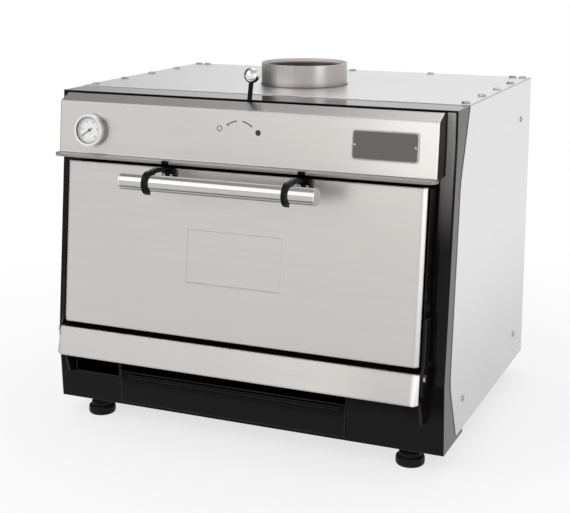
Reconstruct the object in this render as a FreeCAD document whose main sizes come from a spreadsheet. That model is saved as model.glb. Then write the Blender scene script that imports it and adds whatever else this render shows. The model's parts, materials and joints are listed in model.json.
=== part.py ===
"""Charcoal oven as a parametric assembly, in millimetres.

The frame: +Z up, the front faces -Y, +X is on the right of someone who stands in front, z = 0 is the
floor under the feet and x = y = 0 is the middle of the whole outline.
Heights in the sheet are above the frame's bottom edge, and depths are behind the frame's top front
edge, the datum, unless a name says otherwise.
"""
import FreeCAD, Part
import math
import os
import re

import Sketcher
from FreeCAD import Rotation, Vector

SIZES = {
    # Carcass
    "body_width": 920,
    "body_depth": 662,
    "body_height": 711,
    "foot_height": 43,
    "lean": 6,
    "lean_drop": 65,
    "nose_height": 150,
    "toe_setback": 7.6,
    "frame_sheet": 3,
    "side_sheet": 1.5,
    "cover_sheet": 1.5,
    "back_sheet": 1.5,
    "floor_sheet": 2,
    "top_flange": 88,
    "foot_flange": 86,
    "side_flange": 100,
    "panel_foot": 12,
    "panel_knee_depth": 30,
    "panel_knee_drop": 151,
    "panel_nose_depth": -11,
    "panel_nose_height": 140,
    "panel_toe_depth": 44,
    "panel_knee_round": 200,
    "panel_nose_round": 90,
    "rail_leg": 30,
    "rail_sheet": 3,
    "gap": 0.3,
    "running_fit": 0.05,
    # Cover bolts and side screws
    "bolt_across_corners": 17,
    "bolt_head": 3.8,
    "bolt_radius": 4,
    "bolt_length": 14,
    "bolt_row_inset": 17,
    "bolt_first_depth": 113,
    "bolt_last_inset": 17,
    "bolt_end_inset": 42,
    "side_screw_radius": 7.5,
    "side_screw_head": 2.5,
    "side_screw_shank": 2.5,
    "side_screw_length": 9,
    "strut_back_clear": 112,
    "strut_wide": 26,
    "strut_thick": 12,
    "rear_screw_drop": 91,
    "rear_screw_low": 83,
    "front_screw_depth": 90,
    "front_screw_height": 79,
    # Cooking chamber
    "mouth_margin": 100,
    "mouth_bottom": 238,
    "mouth_head": 23,
    "chamber_clear": 2,
    "chamber_back_clear": 117,
    "chamber_floor_height": 155,
    "chamber_roof_drop": 166,
    "chamber_sheet": 4,
    "fire_width": 400,
    "fire_front_depth": 90,
    "fire_back_clear": 75,
    "wool_slack": 0.2,
    "back_wool": 90,
    "top_wool": 80,
    "wool_front_depth": 60,
    "support_inset": 30,
    "support_sheet": 4,
    "support_front_depth": 60,
    "support_back_clear": 5,
    "grate_border": 15,
    "grate_bar": 10,
    "grate_height": 20,
    "ledge_low_height": 300,
    "ledge_rise": 95,
    "ledge_wide": 17,
    "ledge_sheet": 3,
    "ledge_front_depth": 30,
    "ledge_back_clear": 15,
    "grid_clear": 12,
    "grid_front_depth": 45,
    "grid_back_clear": 50,
    "grid_edge_radius": 5,
    "grid_rod_radius": 3,
    # Flue and damper
    "flue_depth": 315,
    "flue_radius": 100,
    "flue_rise": 51,
    "collar_wall": 2.7,
    "duct_wall": 2.5,
    "duct_recess": 10,
    "shaft_drop": 61,
    "shaft_radius": 5,
    "shaft_tail": 12,
    "disc_margin": 2.5,
    "disc_thick": 3,
    "lever_depth": -8,
    "lever_rest": 6.5,
    "lever_closed": 45,
    "lever_hub_radius": 11,
    "lever_hub_length": 9,
    "lever_rod_radius": 5,
    "knob_radius": 17,
    "knob_reach": 113.5,
    "bush_radius": 9,
    "bush_length": 12,
    "bush_flange": 2,
    # Fascia
    "fascia_margin": 25,
    "fascia_sheet": 1.5,
    "fascia_edge_forward": 49,
    "fascia_edge_drop": 19,
    "fascia_fall": 113,
    "fascia_top_forward": 16,
    "fascia_top_drop": 4.5,
    "lip_depth": 26,
    "lip_drop": 6,
    "lip_overhang": 4,
    "lip_corner": 20,
    "lip_notch_wide": 17,
    "lip_notch_deep": 13,
    "fascia_end_sheet": 2,
    "plate_margin": 39,
    "plate_wide": 141,
    "plate_tall": 62,
    "plate_down": 23,
    "plate_thick": 2,
    "plate_round": 8,
    "plate_screw_inset": 6.5,
    "plate_screw_radius": 3.2,
    "plate_screw_head": 1.6,
    # Temperature gauge
    "gauge_margin": 82.5,
    "gauge_down": 61.3,
    "gauge_radius": 35,
    "gauge_case_radius": 33,
    "gauge_case_length": 17,
    "gauge_wall": 2,
    "gauge_dial_seat": 10,
    "gauge_dial_thick": 1,
    "gauge_glass_thick": 2,
    "gauge_bezel_lip": 2.2,
    "gauge_window_radius": 29.5,
    "pointer_thick": 0.8,
    "pointer_hub_radius": 3.5,
    "pointer_hub_thick": 1.6,
    "pointer_reach": 24,
    "pointer_tail": 9,
    "pointer_wide": 1.8,
    "pointer_cold": 215,
    "probe_radius": 4,
    "probe_run": 95,
    "probe_drop": 125,
    # Door and its hinges
    "hinge_standoff": 39.811218,
    "hinge_drop": 60,
    "door_margin": 44.6,
    "door_foot": 21.9,
    "door_overlap": 78,
    "door_face": 11.85,
    "door_bevel": 8,
    "door_sheet": 1.5,
    "skin_depth": 9.85,
    "liner_overhang": 6.1,
    "liner_inset": 2,
    "liner_depth": 31.8,
    "liner_sheet": 2,
    "gasket_inset": 10,
    "gasket_wide": 14,
    "emboss_half_width": 109,
    "emboss_low": 141,
    "emboss_tall": 114,
    "emboss_rise": 0.8,
    "bracket_sheet": 5,
    "hinge_clear": 0.5,
    "bracket_rise": 11,
    "bracket_lip_rise": 4.5,
    "bracket_chin_behind": 19,
    "bracket_chin_drop": 5,
    "bracket_shin_behind": 16,
    "bracket_shin_height": 72,
    "bracket_toe_height": 66,
    "bracket_nose": 9.5,
    "arm_sheet": 4.5,
    "arm_heel": 36.5,
    "arm_half": 8,
    "arm_shoulder": 30,
    "arm_reach": 120,
    "arm_back": 24,
    "pin_radius": 5,
    "pin_head_radius": 8,
    "pin_head": 4.5,
    # Handle
    "handle_half_length": 220,
    "handle_radius": 17.5,
    "handle_wall": 2,
    "handle_down": 25.6,
    "handle_standoff": 94,
    "handle_cap": 3,
    "handle_plug": 14,
    "hook_offset": 157,
    "hook_radius": 25,
    "hook_thick": 9,
    "hook_front": 18,
    "hook_arm_low": 6,
    "hook_arm_high": 16,
    "hook_arch": 14,
    "hook_belly": 14,
    "hook_foot_half": 14,
    "hook_foot_thick": 10,
    "hook_foot_low": -6,
    "hook_foot_high": 26,
    "hook_bolt_offset": 8.6,
    "hook_bolt_radius": 3.6,
    "hook_bolt_head": 3,
    "hook_bolt_up": 11,
    # Apron under the door
    "apron_ahead": 12.3,
    "apron_rise": 10,
    "apron_height": 61.5,
    "apron_lean": 15.6,
    "apron_clear": 0.2,
    "apron_taper": 7,
    "apron_flare": 1.8,
    "apron_wing_back": 4.1,
    "apron_wing_rise": 3,
    "apron_hem": 8,
    "apron_sheet": 1.5,
    # Air window, ash drawer
    "window_clear": 6,
    "window_wide": 110.4,
    "window_low": 67,
    "slot_top": 118,
    "window_post": 5.1,
    "drawer_wide": 544.5,
    "drawer_low": 8,
    "drawer_tall": 72,
    "drawer_gap": 1,
    "drawer_forward": 51,
    "drawer_sheet": 3,
    "pull_inset_left": 28.5,
    "pull_inset_right": 11.4,
    "drawer_lip_out": 13,
    "drawer_lip_thick": 2.5,
    "drawer_lip_drop": 7,
    "tray_inset_left": 37.5,
    "tray_inset_right": 37,
    "tray_length": 515,
    "tray_low": 20,
    "tray_tall": 54,
    "tray_sheet": 2,
    "runner_wide": 28,
    "runner_guide": 4,
    "runner_guide_tall": 34,
    "runner_front_depth": 45,
    "runner_short": 80,
    # Feet
    "foot_margin": 84,
    "foot_front_depth": -8,
    "foot_back_clear": 62,
    "foot_radius": 31,
    "foot_base": 21,
    "foot_neck_radius": 24,
    "foot_neck": 8,
    "stud_radius": 6,
    "stud_up": 11,
    "nut_across_corners": 22,
    "nut_tall": 8,
}

DERIVED = {
    "fire_length": "chamber_back_depth - fire_front_depth - fire_back_clear",
    "hinge_forward": "(lean_top - hinge_height) * slope + hinge_standoff",
    "apron_forward": "hinge_forward + apron_ahead",
    "mouth_width": "body_width - 2 * mouth_margin",
    "chamber_width": "mouth_width + 2 * chamber_clear",
    "side_wool": "inner_half - strut_thick - wool_slack - gap - chamber_outer",
    "door_half_width": "half - door_margin",
    "liner_half_width": "door_half_width + liner_overhang",
    "bracket_outer": "liner_half_width - hinge_clear",
    "apron_half_top": "bracket_outer - apron_clear",
    "apron_half_foot": "apron_half_top - apron_taper",
    "apron_wing_half": "apron_half_top + apron_flare",
    "window_left": "bracket_outer - window_clear",
    "drawer_left": "window_left - window_wide - window_post",
    "tray_left": "drawer_left - tray_inset_left",
    "tray_wide": "drawer_wide - tray_inset_left - tray_inset_right",
    "drawer_lip_left": "drawer_left - pull_inset_left",
    "drawer_lip_wide": "drawer_wide - pull_inset_left - pull_inset_right",
    "fascia_half_width": "half - fascia_margin",
    "lip_front": "fascia_foot + fascia_sheet - lip_depth",
    "plate_left": "fascia_half_width - plate_margin - plate_wide",
    "gauge_left": "fascia_half_width - gauge_margin",
    "grid_half_width": "chamber_half - grid_clear",
    "foot_side": "half - foot_margin",
    "back_bolt_pitch": "(half - bolt_end_inset) / 2",
    "bolt_pitch": "(body_depth - bolt_first_depth - bolt_last_inset) / 4",
    "chamber_back_depth": "body_depth - chamber_back_clear",
    "strut_depth": "body_depth - strut_back_clear",
    "foot_back_depth": "body_depth - foot_back_clear",
    "support_back_depth": "chamber_back_depth - support_back_clear",
    "runner_length": "tray_length - runner_short",
    "grid_length": "chamber_back_depth - grid_front_depth - grid_back_clear",
    "ledge_length": "chamber_back_depth - ledge_front_depth - ledge_back_clear",
    "lean_top": "body_height - lean_drop",
    "shaft_height": "body_height - shaft_drop",
    "fascia_edge_height": "body_height - fascia_edge_drop",
    "fascia_top_height": "body_height - fascia_top_drop",
    "chamber_roof_height": "body_height - chamber_roof_drop",
    "mouth_top": "chamber_roof_height - mouth_head",
    "rear_screw_high": "body_height - rear_screw_drop",
    "panel_knee_height": "body_height - panel_knee_drop",
    "hinge_height": "mouth_bottom - hinge_drop",
    "door_height": "mouth_top - mouth_bottom + door_overlap",
    "handle_up": "door_foot + door_height - handle_down",
    "apron_top": "hinge_height + apron_rise",
    "bracket_top": "hinge_height + bracket_rise",
    "bracket_lip_height": "apron_top - apron_height + bracket_lip_rise",
    "half": "body_width / 2",
    "inner_half": "half - side_sheet",
    "frame_top": "body_height - cover_sheet",
    "slope": "tan(lean)",
    "nose": "-(lean_top - nose_height) * slope",
    "toe": "nose + toe_setback",
    "skin_across": "frame_sheet / cos(lean)",
    "face_out": "-door_face",
    "handle_out": "-(door_face + handle_standoff)",
    "reach": "hinge_forward - handle_out * cos(lean) - handle_up * sin(lean) + hook_radius",
    "datum": "(reach - body_depth) / 2",
    "fascia_foot": "-fascia_edge_forward - fascia_fall * slope",
    "fascia_foot_height": "fascia_edge_height - fascia_fall",
    "chamber_half": "chamber_width / 2",
    "chamber_outer": "chamber_half + chamber_sheet",
    "floor_under": "chamber_floor_height - chamber_sheet",
    "floor_over": "panel_foot + floor_sheet",
    "roof_over": "chamber_roof_height + chamber_sheet",
    "back_behind": "chamber_back_depth + chamber_sheet",
    "duct_outer": "flue_radius - collar_wall - gap",
    "duct_inner": "duct_outer - duct_wall",
    "disc_radius": "duct_inner - disc_margin",
    "disc_turn": "lever_rest - lever_closed",
    "probe_depth": "-fascia_edge_forward + probe_run * cos(lean) - gauge_down * sin(lean)",
    "probe_height": "fascia_edge_height - probe_run * sin(lean) - gauge_down * cos(lean)",
    "shaft_back": "flue_depth + duct_outer + shaft_tail",
    "bracket_lip": "apron_seat + apron_wing_back - apron_forward - bracket_lip_fall * tan(apron_lean)",
    "bracket_lip_fall": "apron_height - bracket_lip_rise",
    "bracket_chin": "bracket_lip + bracket_chin_behind",
    "hook_middle": "(face_out + handle_out - hook_front) / 2",
    "hook_half_span": "(face_out - handle_out + hook_front) / 2",
    "liner_rear": "liner_depth - liner_inset",
    "skin_gap": "hinge_standoff * cos(lean)",
    "apron_seat": "apron_sheet / cos(apron_lean) + gap",
    "tray_right": "-tray_left + tray_wide",
}

# Counts
SIDE_BOLT_COUNT = 5
BACK_BOLT_STEPS = (-2, -1, 0, 1, 2)
GRATE_COUNT = 14
GRID_COUNT = 26
LEDGE_COUNT = 3
HOOK_STEPS = (1, 0.75, 0.5, 0.25, 0, -0.25, -0.5, -0.75, -1)

doc = FreeCAD.newDocument("charcoal_oven")
sheet = doc.addObject("Spreadsheet::Sheet", "Sizes")
for row, (alias, value) in enumerate(SIZES.items(), start=1):
    sheet.set(f"A{row}", str(value))
    sheet.setAlias(f"A{row}", alias)
doc.recompute()

WORD = re.compile(r"[a-z_]{3,}")
pieces = {}


def ex(text):
    """Write a formula in the sheet's aliases, with the derived sizes spelled out."""
    def swap(match):
        word = match.group(0)
        if word in SIZES:
            return "Sizes." + word
        if word in DERIVED:
            return "(" + ex(DERIVED[word]) + ")"
        return word
    return WORD.sub(swap, str(text))


def bind(item, **formulas):
    """Bind properties of a document object to formulas."""
    for prop, text in formulas.items():
        item.setExpression(prop, ex(text))


def seat(item, x, y, z, axis=None, angle="0"):
    """Place an object at a depth behind the datum and a height above the frame's bottom edge."""
    if axis is not None:
        item.Placement.Rotation = Rotation(axis, 1)
        item.setExpression("Placement.Rotation.Angle", ex(angle))
    item.setExpression("Placement.Base.x", ex(x))
    item.setExpression("Placement.Base.y", ex(f"datum + ({y})"))
    item.setExpression("Placement.Base.z", ex(f"foot_height + ({z})"))
    return item


def lean_seat(item, x, out, up, y0, z0, turn="0"):
    """Place an object in a frame that leans back: out is behind and up is along the leaning face."""
    return seat(
        item, x,
        f"({y0}) + ({out}) * cos(lean) + ({up}) * sin(lean)",
        f"({z0}) - ({out}) * sin(lean) + ({up}) * cos(lean)",
        Vector(1, 0, 0), f"({turn}) - lean",
    )


def on_door(item, x, out, up, turn="0"):
    """Place an object in the door's frame, with the hinge line as its origin."""
    return lean_seat(item, x, out, up, "-hinge_forward", "hinge_height", turn)


def on_fascia(item, x, out, up, turn="0"):
    """Place an object on the fascia's face, with its top front edge as the origin."""
    return lean_seat(item, x, out, up, "-fascia_edge_forward", "fascia_edge_height", turn)


def keep(name, item):
    """Label an object as a sub-part."""
    item.Label = name
    pieces[name] = item
    return item


def box(length, width, height):
    """A Part box with bound sides, still to be placed."""
    item = doc.addObject("Part::Box", "Block")
    bind(item, Length=length, Width=width, Height=height)
    return item


def rod(radius, height):
    """A Part cylinder along its own Z, still to be placed."""
    item = doc.addObject("Part::Cylinder", "Rod")
    bind(item, Radius=radius, Height=height)
    return item


def hexagon(across_corners, height):
    """A hexagonal prism along its own Z, still to be placed."""
    item = doc.addObject("Part::Prism", "Hexagon")
    item.Polygon = 6
    bind(item, Circumradius=f"({across_corners}) / 2", Height=height)
    return item


def along_x(item, x, y, z):
    """Seat a cylinder so that it runs towards +X."""
    return seat(item, x, y, z, Vector(0, 1, 0), "90")


def along_y(item, x, y, z):
    """Seat a cylinder so that it runs towards +Y, the back."""
    return seat(item, x, y, z, Vector(1, 0, 0), "-90")


def cut(base, *tools):
    """Cut tools out of a base."""
    item = doc.addObject("Part::Cut", "Cut")
    item.Base = base
    item.Tool = tools[0] if len(tools) == 1 else group(*tools)
    return item


def fuse(*shapes):
    """Weld shapes into one solid."""
    item = doc.addObject("Part::MultiFuse", "Weld")
    item.Shapes = list(shapes)
    return item


def group(*shapes):
    """Hold separate solids in one object."""
    item = doc.addObject("Part::Compound", "Group")
    item.Links = list(shapes)
    return item


def plate(role, points, length, both=False):
    """A PartDesign body padded from an outline whose every corner is bound.

    role names the origin plane that carries the outline: in YZ_Plane a corner is depth and height and
    the pad runs towards +X, and in XY_Plane it is x and depth and the pad runs up.
    """
    body = doc.addObject("PartDesign::Body", "Body")
    plane = [item for item in body.Origin.OriginFeatures if item.Role == role][0]
    sketch = body.newObject("Sketcher::SketchObject", "Outline")
    sketch.AttachmentSupport = [(plane, "")]
    sketch.MapMode = "FlatFace"
    count = len(points)
    turns = [2 * math.pi * k / count for k in range(count)]
    start = [Vector(math.cos(turn), math.sin(turn), 0) for turn in turns]
    for k in range(count):
        sketch.addGeometry(Part.LineSegment(start[k], start[(k + 1) % count]))
    for k in range(count):
        sketch.addConstraint(Sketcher.Constraint("Coincident", k, 2, (k + 1) % count, 1))
    for k, (across, along) in enumerate(points):
        for kind, text, value in (("DistanceX", across, start[k].x), ("DistanceY", along, start[k].y)):
            index = sketch.addConstraint(Sketcher.Constraint(kind, -1, 1, k, 1, value))
            sketch.setExpression(f"Constraints[{index}]", ex(text))
    pad = body.newObject("PartDesign::Pad", "Pad")
    pad.Profile = sketch
    pad.SideType = "Symmetric" if both else "One side"
    bind(pad, Length=length)
    body.Tip = pad
    return body


def round_corners(body, corners):
    """Round edges that stand on an outline, found by their corner of it: (corner index, radius)."""
    doc.recompute()
    pad = body.Tip
    outline = pad.Profile[0]
    marks = [outline.getPoint(index, 1) for index, _ in corners]
    base = pad
    for mark, (_, radius) in zip(marks, corners):
        doc.recompute()
        found = [e for e in enumerate(base.Shape.Edges, start=1) if stands_on(e[1], outline, mark)]
        fillet = body.newObject("PartDesign::Fillet", "Round")
        fillet.Base = (base, [f"Edge{found[0][0]}"])
        bind(fillet, Radius=radius)
        body.Tip = fillet
        base = fillet
    return body


def stands_on(edge, outline, mark):
    """Whether an edge stands square on an outline at one of its corners."""
    near = 1e-4
    ends = [outline.Placement.inverse().multVec(vertex.Point) for vertex in edge.Vertexes]
    return all(abs(end.x - mark.x) < near and abs(end.y - mark.y) < near for end in ends)


def skin(height, behind="0"):
    """Depth of the leaning front at a height."""
    return f"-(lean_top - ({height})) * slope + ({behind})"


def toe_line(height):
    """Depth of the front below its nose at a height."""
    return f"toe - toe_setback * ({height}) / nose_height"


def front_frame():
    """Black surround: one bent front sheet with two side flanges, and all its openings."""
    bent = plate("YZ_Plane", [
        ("top_flange", "frame_top"), ("0", "frame_top"), ("0", "lean_top"), ("nose", "nose_height"),
        ("toe", "0"), ("toe + foot_flange", "0"), ("toe + foot_flange", "frame_sheet"),
        ("toe + frame_sheet", "frame_sheet"), ("nose + skin_across", "nose_height"),
        ("skin_across", "lean_top"), ("skin_across", "frame_top - frame_sheet"),
        ("top_flange", "frame_top - frame_sheet"),
    ], "2 * inner_half", both=True)
    flanges = []
    for start in ("-inner_half", "inner_half - frame_sheet"):
        flange = plate("YZ_Plane", [
            ("side_flange", "frame_top"), ("0", "frame_top"), ("0", "lean_top"),
            ("nose", "nose_height"), ("toe", "0"), ("side_flange", "0"),
        ], "frame_sheet")
        flanges.append(seat(flange, start, "0", "0"))
    seat(bent, "0", "0", "0")
    reach_y = "-2 * nose"
    mouth = seat(box("mouth_width", reach_y, "mouth_top - mouth_bottom"),
                 "-mouth_width / 2", "nose", "mouth_bottom")
    window = seat(box("window_wide", reach_y, "slot_top - window_low"),
                  "-window_left", "2 * nose", "window_low")
    drawer = seat(box("drawer_wide", reach_y, "slot_top - drawer_low"),
                  "-drawer_left", "2 * nose", "drawer_low")
    bush = along_y(rod("bush_radius", reach_y), "0", "nose", "shaft_height")
    probe = on_fascia(rod("probe_radius + gap", "2 * probe_run"), "-gauge_left", "-probe_run",
                      "-gauge_down", "-90")
    studs = [seat(rod("stud_radius + gap", "4 * frame_sheet"), x, "foot_front_depth", "-frame_sheet")
             for x in ("-foot_side", "foot_side")]
    screws = [along_x(rod("side_screw_shank", "4 * frame_sheet"), x, "front_screw_depth",
                      "front_screw_height")
              for x in ("-half", "half - 4 * frame_sheet")]
    keep("front_frame", cut(fuse(bent, *flanges), mouth, window, drawer, bush, probe, *studs, *screws))


def carcass():
    """Stainless cover and sides, back, floor, the rails and struts that carry them."""
    cover = seat(box("body_width", "body_depth - top_flange", "cover_sheet"),
                 "-half", "top_flange", "frame_top")
    flue_hole = seat(rod("duct_outer + gap", "4 * cover_sheet"), "0", "flue_depth",
                     "frame_top - cover_sheet")
    bolt_spots = [(x, f"bolt_first_depth + {k} * bolt_pitch")
                  for x in ("-half + bolt_row_inset", "half - bolt_row_inset")
                  for k in range(SIDE_BOLT_COUNT)]
    bolt_spots += [(f"{k} * back_bolt_pitch", "body_depth - bolt_row_inset") for k in BACK_BOLT_STEPS]
    holes = [seat(rod("bolt_radius + running_fit", "4 * bolt_length"), x, y, "frame_top - 2 * bolt_length")
             for x, y in bolt_spots]
    hole_group = group(*holes)
    keep("top_cover", cut(cover, flue_hole, hole_group))
    rails = []
    for x, foot in (("-inner_half", "-inner_half"),
                    ("inner_half - rail_leg", "inner_half - rail_sheet")):
        flat = seat(box("rail_leg", "body_depth - back_sheet - rail_leg - side_flange - 2 * gap",
                        "rail_sheet"), x, "side_flange + gap", "frame_top - rail_sheet")
        upright = seat(box("rail_sheet", "body_depth - back_sheet - rail_leg - side_flange - 2 * gap",
                           "rail_leg"), foot, "side_flange + gap", "frame_top - rail_leg")
        rails.append(fuse(flat, upright))
    flat = seat(box("2 * inner_half", "rail_leg", "rail_sheet"), "-inner_half",
                "body_depth - back_sheet - rail_leg", "frame_top - rail_sheet")
    upright = seat(box("2 * inner_half", "rail_sheet", "rail_leg"), "-inner_half",
                   "body_depth - back_sheet - rail_sheet", "frame_top - rail_leg")
    rails.append(fuse(flat, upright))
    keep("cover_rails", cut(group(*rails), hole_group))
    bolts = []
    for x, y in bolt_spots:
        head = seat(hexagon("bolt_across_corners", "bolt_head"), x, y, "body_height")
        shank = seat(rod("bolt_radius", "bolt_length"), x, y, "body_height - bolt_length")
        bolts.append(fuse(head, shank))
    keep("cover_bolts", group(*bolts))

    struts, screws = [], []
    screw_spots = [("strut_depth + strut_wide / 2", "rear_screw_high"),
                   ("strut_depth + strut_wide / 2", "rear_screw_low"),
                   ("front_screw_depth", "front_screw_height")]
    for side, word in ((-1, "left"), (1, "right")):
        start = "-half" if side < 0 else "half - side_sheet"
        panel = plate("YZ_Plane", [
            ("body_depth", "frame_top"), ("top_flange + gap", "frame_top"),
            ("panel_knee_depth", "panel_knee_height"), ("panel_nose_depth", "panel_nose_height"),
            ("panel_toe_depth", "panel_foot"), ("body_depth", "panel_foot"),
        ], "side_sheet")
        round_corners(panel, [(2, "panel_knee_round"), (3, "panel_nose_round")])
        seat(panel, start, "0", "0")
        bores = [along_x(rod("side_screw_shank", "4 * side_screw_length"),
                         f"{side} * half - 2 * side_screw_length", y, z) for y, z in screw_spots]
        bore_group = group(*bores)
        keep(f"side_panel_{word}", cut(panel, bore_group))
        strut = seat(box("strut_thick", "strut_wide", "frame_top - rail_leg - gap - floor_over"),
                     f"{side} * (inner_half - strut_thick / 2) - strut_thick / 2", "strut_depth",
                     "floor_over")
        struts.append(cut(strut, bore_group))
        for y, z in screw_spots:
            if side < 0:
                head = along_x(rod("side_screw_radius", "side_screw_head"), "-half - side_screw_head", y, z)
                shank = along_x(rod("side_screw_shank", "side_screw_length"), "-half", y, z)
            else:
                head = along_x(rod("side_screw_radius", "side_screw_head"), "half", y, z)
                shank = along_x(rod("side_screw_shank", "side_screw_length"), "half - side_screw_length",
                                y, z)
            screws.append(fuse(head, shank))
    keep("side_struts", group(*struts))
    keep("side_screws", group(*screws))
    keep("back_panel", seat(box("2 * inner_half", "back_sheet", "frame_top - panel_foot"),
                            "-inner_half", "body_depth - back_sheet", "panel_foot"))
    floors = []
    for side, front in (("inner_half - frame_sheet - gap", "toe + frame_sheet + gap"),
                        ("inner_half - gap", "side_flange + gap")):
        floors.append(seat(box(f"2 * ({side})", f"body_depth - back_sheet - ({front})", "floor_sheet"),
                           f"-({side})", front, "panel_foot"))
    studs = [seat(rod("stud_radius + gap", "4 * floor_sheet"), x, "foot_back_depth",
                  "panel_foot - floor_sheet") for x in ("-foot_side", "foot_side")]
    keep("bottom_plate", cut(fuse(*floors), *studs))


def chamber():
    """Steel cooking chamber behind the door: walls, supports, insulation, grate, ledges and grids."""
    front = skin("{0}", "skin_across")
    walls = []
    for start in ("-chamber_outer", "chamber_half"):
        wall = plate("YZ_Plane", [
            (front.format("chamber_floor_height"), "chamber_floor_height"),
            ("chamber_back_depth", "chamber_floor_height"),
            ("chamber_back_depth", "chamber_roof_height"),
            (front.format("chamber_roof_height"), "chamber_roof_height"),
        ], "chamber_sheet")
        walls.append(seat(wall, start, "0", "0"))
    keep("chamber_sides", group(*walls))
    keep("chamber_back", seat(box("2 * chamber_outer", "chamber_sheet",
                                  "chamber_roof_height - chamber_floor_height"),
                              "-chamber_outer", "chamber_back_depth", "chamber_floor_height"))
    floor = plate("YZ_Plane", [
        (front.format("floor_under"), "floor_under"), ("back_behind", "floor_under"),
        ("back_behind", "chamber_floor_height"),
        (front.format("chamber_floor_height"), "chamber_floor_height"),
    ], "2 * chamber_outer", both=True)
    seat(floor, "0", "0", "0")
    fire = seat(box("fire_width", "fire_length", "4 * chamber_sheet"), "-fire_width / 2",
                "fire_front_depth", "floor_under - chamber_sheet")
    keep("chamber_floor", cut(floor, fire))
    roof = plate("YZ_Plane", [
        (front.format("chamber_roof_height"), "chamber_roof_height"),
        ("back_behind", "chamber_roof_height"), ("back_behind", "roof_over"),
        (front.format("roof_over"), "roof_over"),
    ], "2 * chamber_outer", both=True)
    seat(roof, "0", "0", "0")
    smoke = seat(rod("duct_inner", "4 * chamber_sheet"), "0", "flue_depth",
                 "chamber_roof_height - chamber_sheet")
    probe = seat(rod("probe_radius + gap", "4 * chamber_sheet"), "-gauge_left", "probe_depth",
                 "chamber_roof_height - chamber_sheet")
    keep("chamber_roof", cut(roof, smoke, probe))
    supports = [seat(box("support_sheet", "support_back_depth - support_front_depth",
                         "floor_under - floor_over"), x, "support_front_depth", "floor_over")
                for x in ("-chamber_half + support_inset",
                          "chamber_half - support_inset - support_sheet")]
    keep("chamber_supports", group(*supports))

    wool_tall = "roof_over - chamber_floor_height"
    slabs = [seat(box("side_wool", "back_behind - wool_front_depth", wool_tall), x, "wool_front_depth",
                  "chamber_floor_height")
             for x in ("-chamber_outer - gap - side_wool", "chamber_outer + gap")]
    keep("side_insulation", group(*slabs))
    wool_half = "(chamber_outer + gap + side_wool)"
    keep("back_insulation", seat(box(f"2 * {wool_half}", "back_wool", wool_tall), f"-{wool_half}",
                                 "back_behind + gap", "chamber_floor_height"))
    top = seat(box(f"2 * {wool_half}", "back_behind + gap + back_wool - wool_front_depth", "top_wool"),
               f"-{wool_half}", "wool_front_depth", "roof_over + gap")
    duct = seat(rod("duct_outer + gap", "2 * top_wool"), "0", "flue_depth", "chamber_roof_height")
    keep("top_insulation", cut(top, duct))

    bars = []
    grate_long = "fire_length + 2 * grate_border"
    grate_half = "(fire_width / 2 + grate_border)"
    grate_front = "fire_front_depth - grate_border"
    for y in (grate_front, "fire_front_depth + fire_length + grate_border - grate_bar"):
        bars.append(seat(box(f"2 * {grate_half}", "grate_bar", "grate_height"), f"-{grate_half}", y,
                         "chamber_floor_height"))
    for k in range(GRATE_COUNT + 1):
        x = f"-{grate_half} + {k} * (2 * {grate_half} - grate_bar) / {GRATE_COUNT}"
        bars.append(seat(box("grate_bar", grate_long, "grate_height"), x, grate_front,
                         "chamber_floor_height"))
    keep("charcoal_grate", fuse(*bars))

    ledges = []
    for level in range(LEDGE_COUNT):
        for x in ("-chamber_half", "chamber_half - ledge_wide"):
            ledges.append(seat(box("ledge_wide", "ledge_length", "ledge_sheet"), x, "ledge_front_depth",
                               f"ledge_low_height + {level} * ledge_rise / 2 - ledge_sheet"))
    keep("rack_ledges", group(*ledges))
    for level, word in ((0, "lower"), (2, "upper")):
        keep(f"cooking_grid_{word}", cooking_grid(f"ledge_low_height + {level} * ledge_rise / 2"))


def cooking_grid(ledge):
    """One rod grid that rests on a pair of ledges."""
    centre = f"{ledge} + gap + grid_edge_radius"
    back = "grid_front_depth + grid_length"
    inner = "(grid_half_width - grid_edge_radius)"
    rods = []
    for y in ("grid_front_depth", back):
        rods.append(along_x(rod("grid_edge_radius", f"2 * {inner}"), f"-{inner}", y, centre))
    for x in (f"-{inner}", inner):
        rods.append(along_y(rod("grid_edge_radius", "grid_length"), x, "grid_front_depth", centre))
        for y in ("grid_front_depth", back):
            corner = doc.addObject("Part::Sphere", "Corner")
            bind(corner, Radius="grid_edge_radius")
            rods.append(seat(corner, x, y, centre))
    for k in range(1, GRID_COUNT):
        x = f"-{inner} + {k} * 2 * {inner} / {GRID_COUNT}"
        rods.append(along_y(rod("grid_rod_radius", "grid_length"), x, "grid_front_depth", centre))
    return fuse(*rods)


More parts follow.
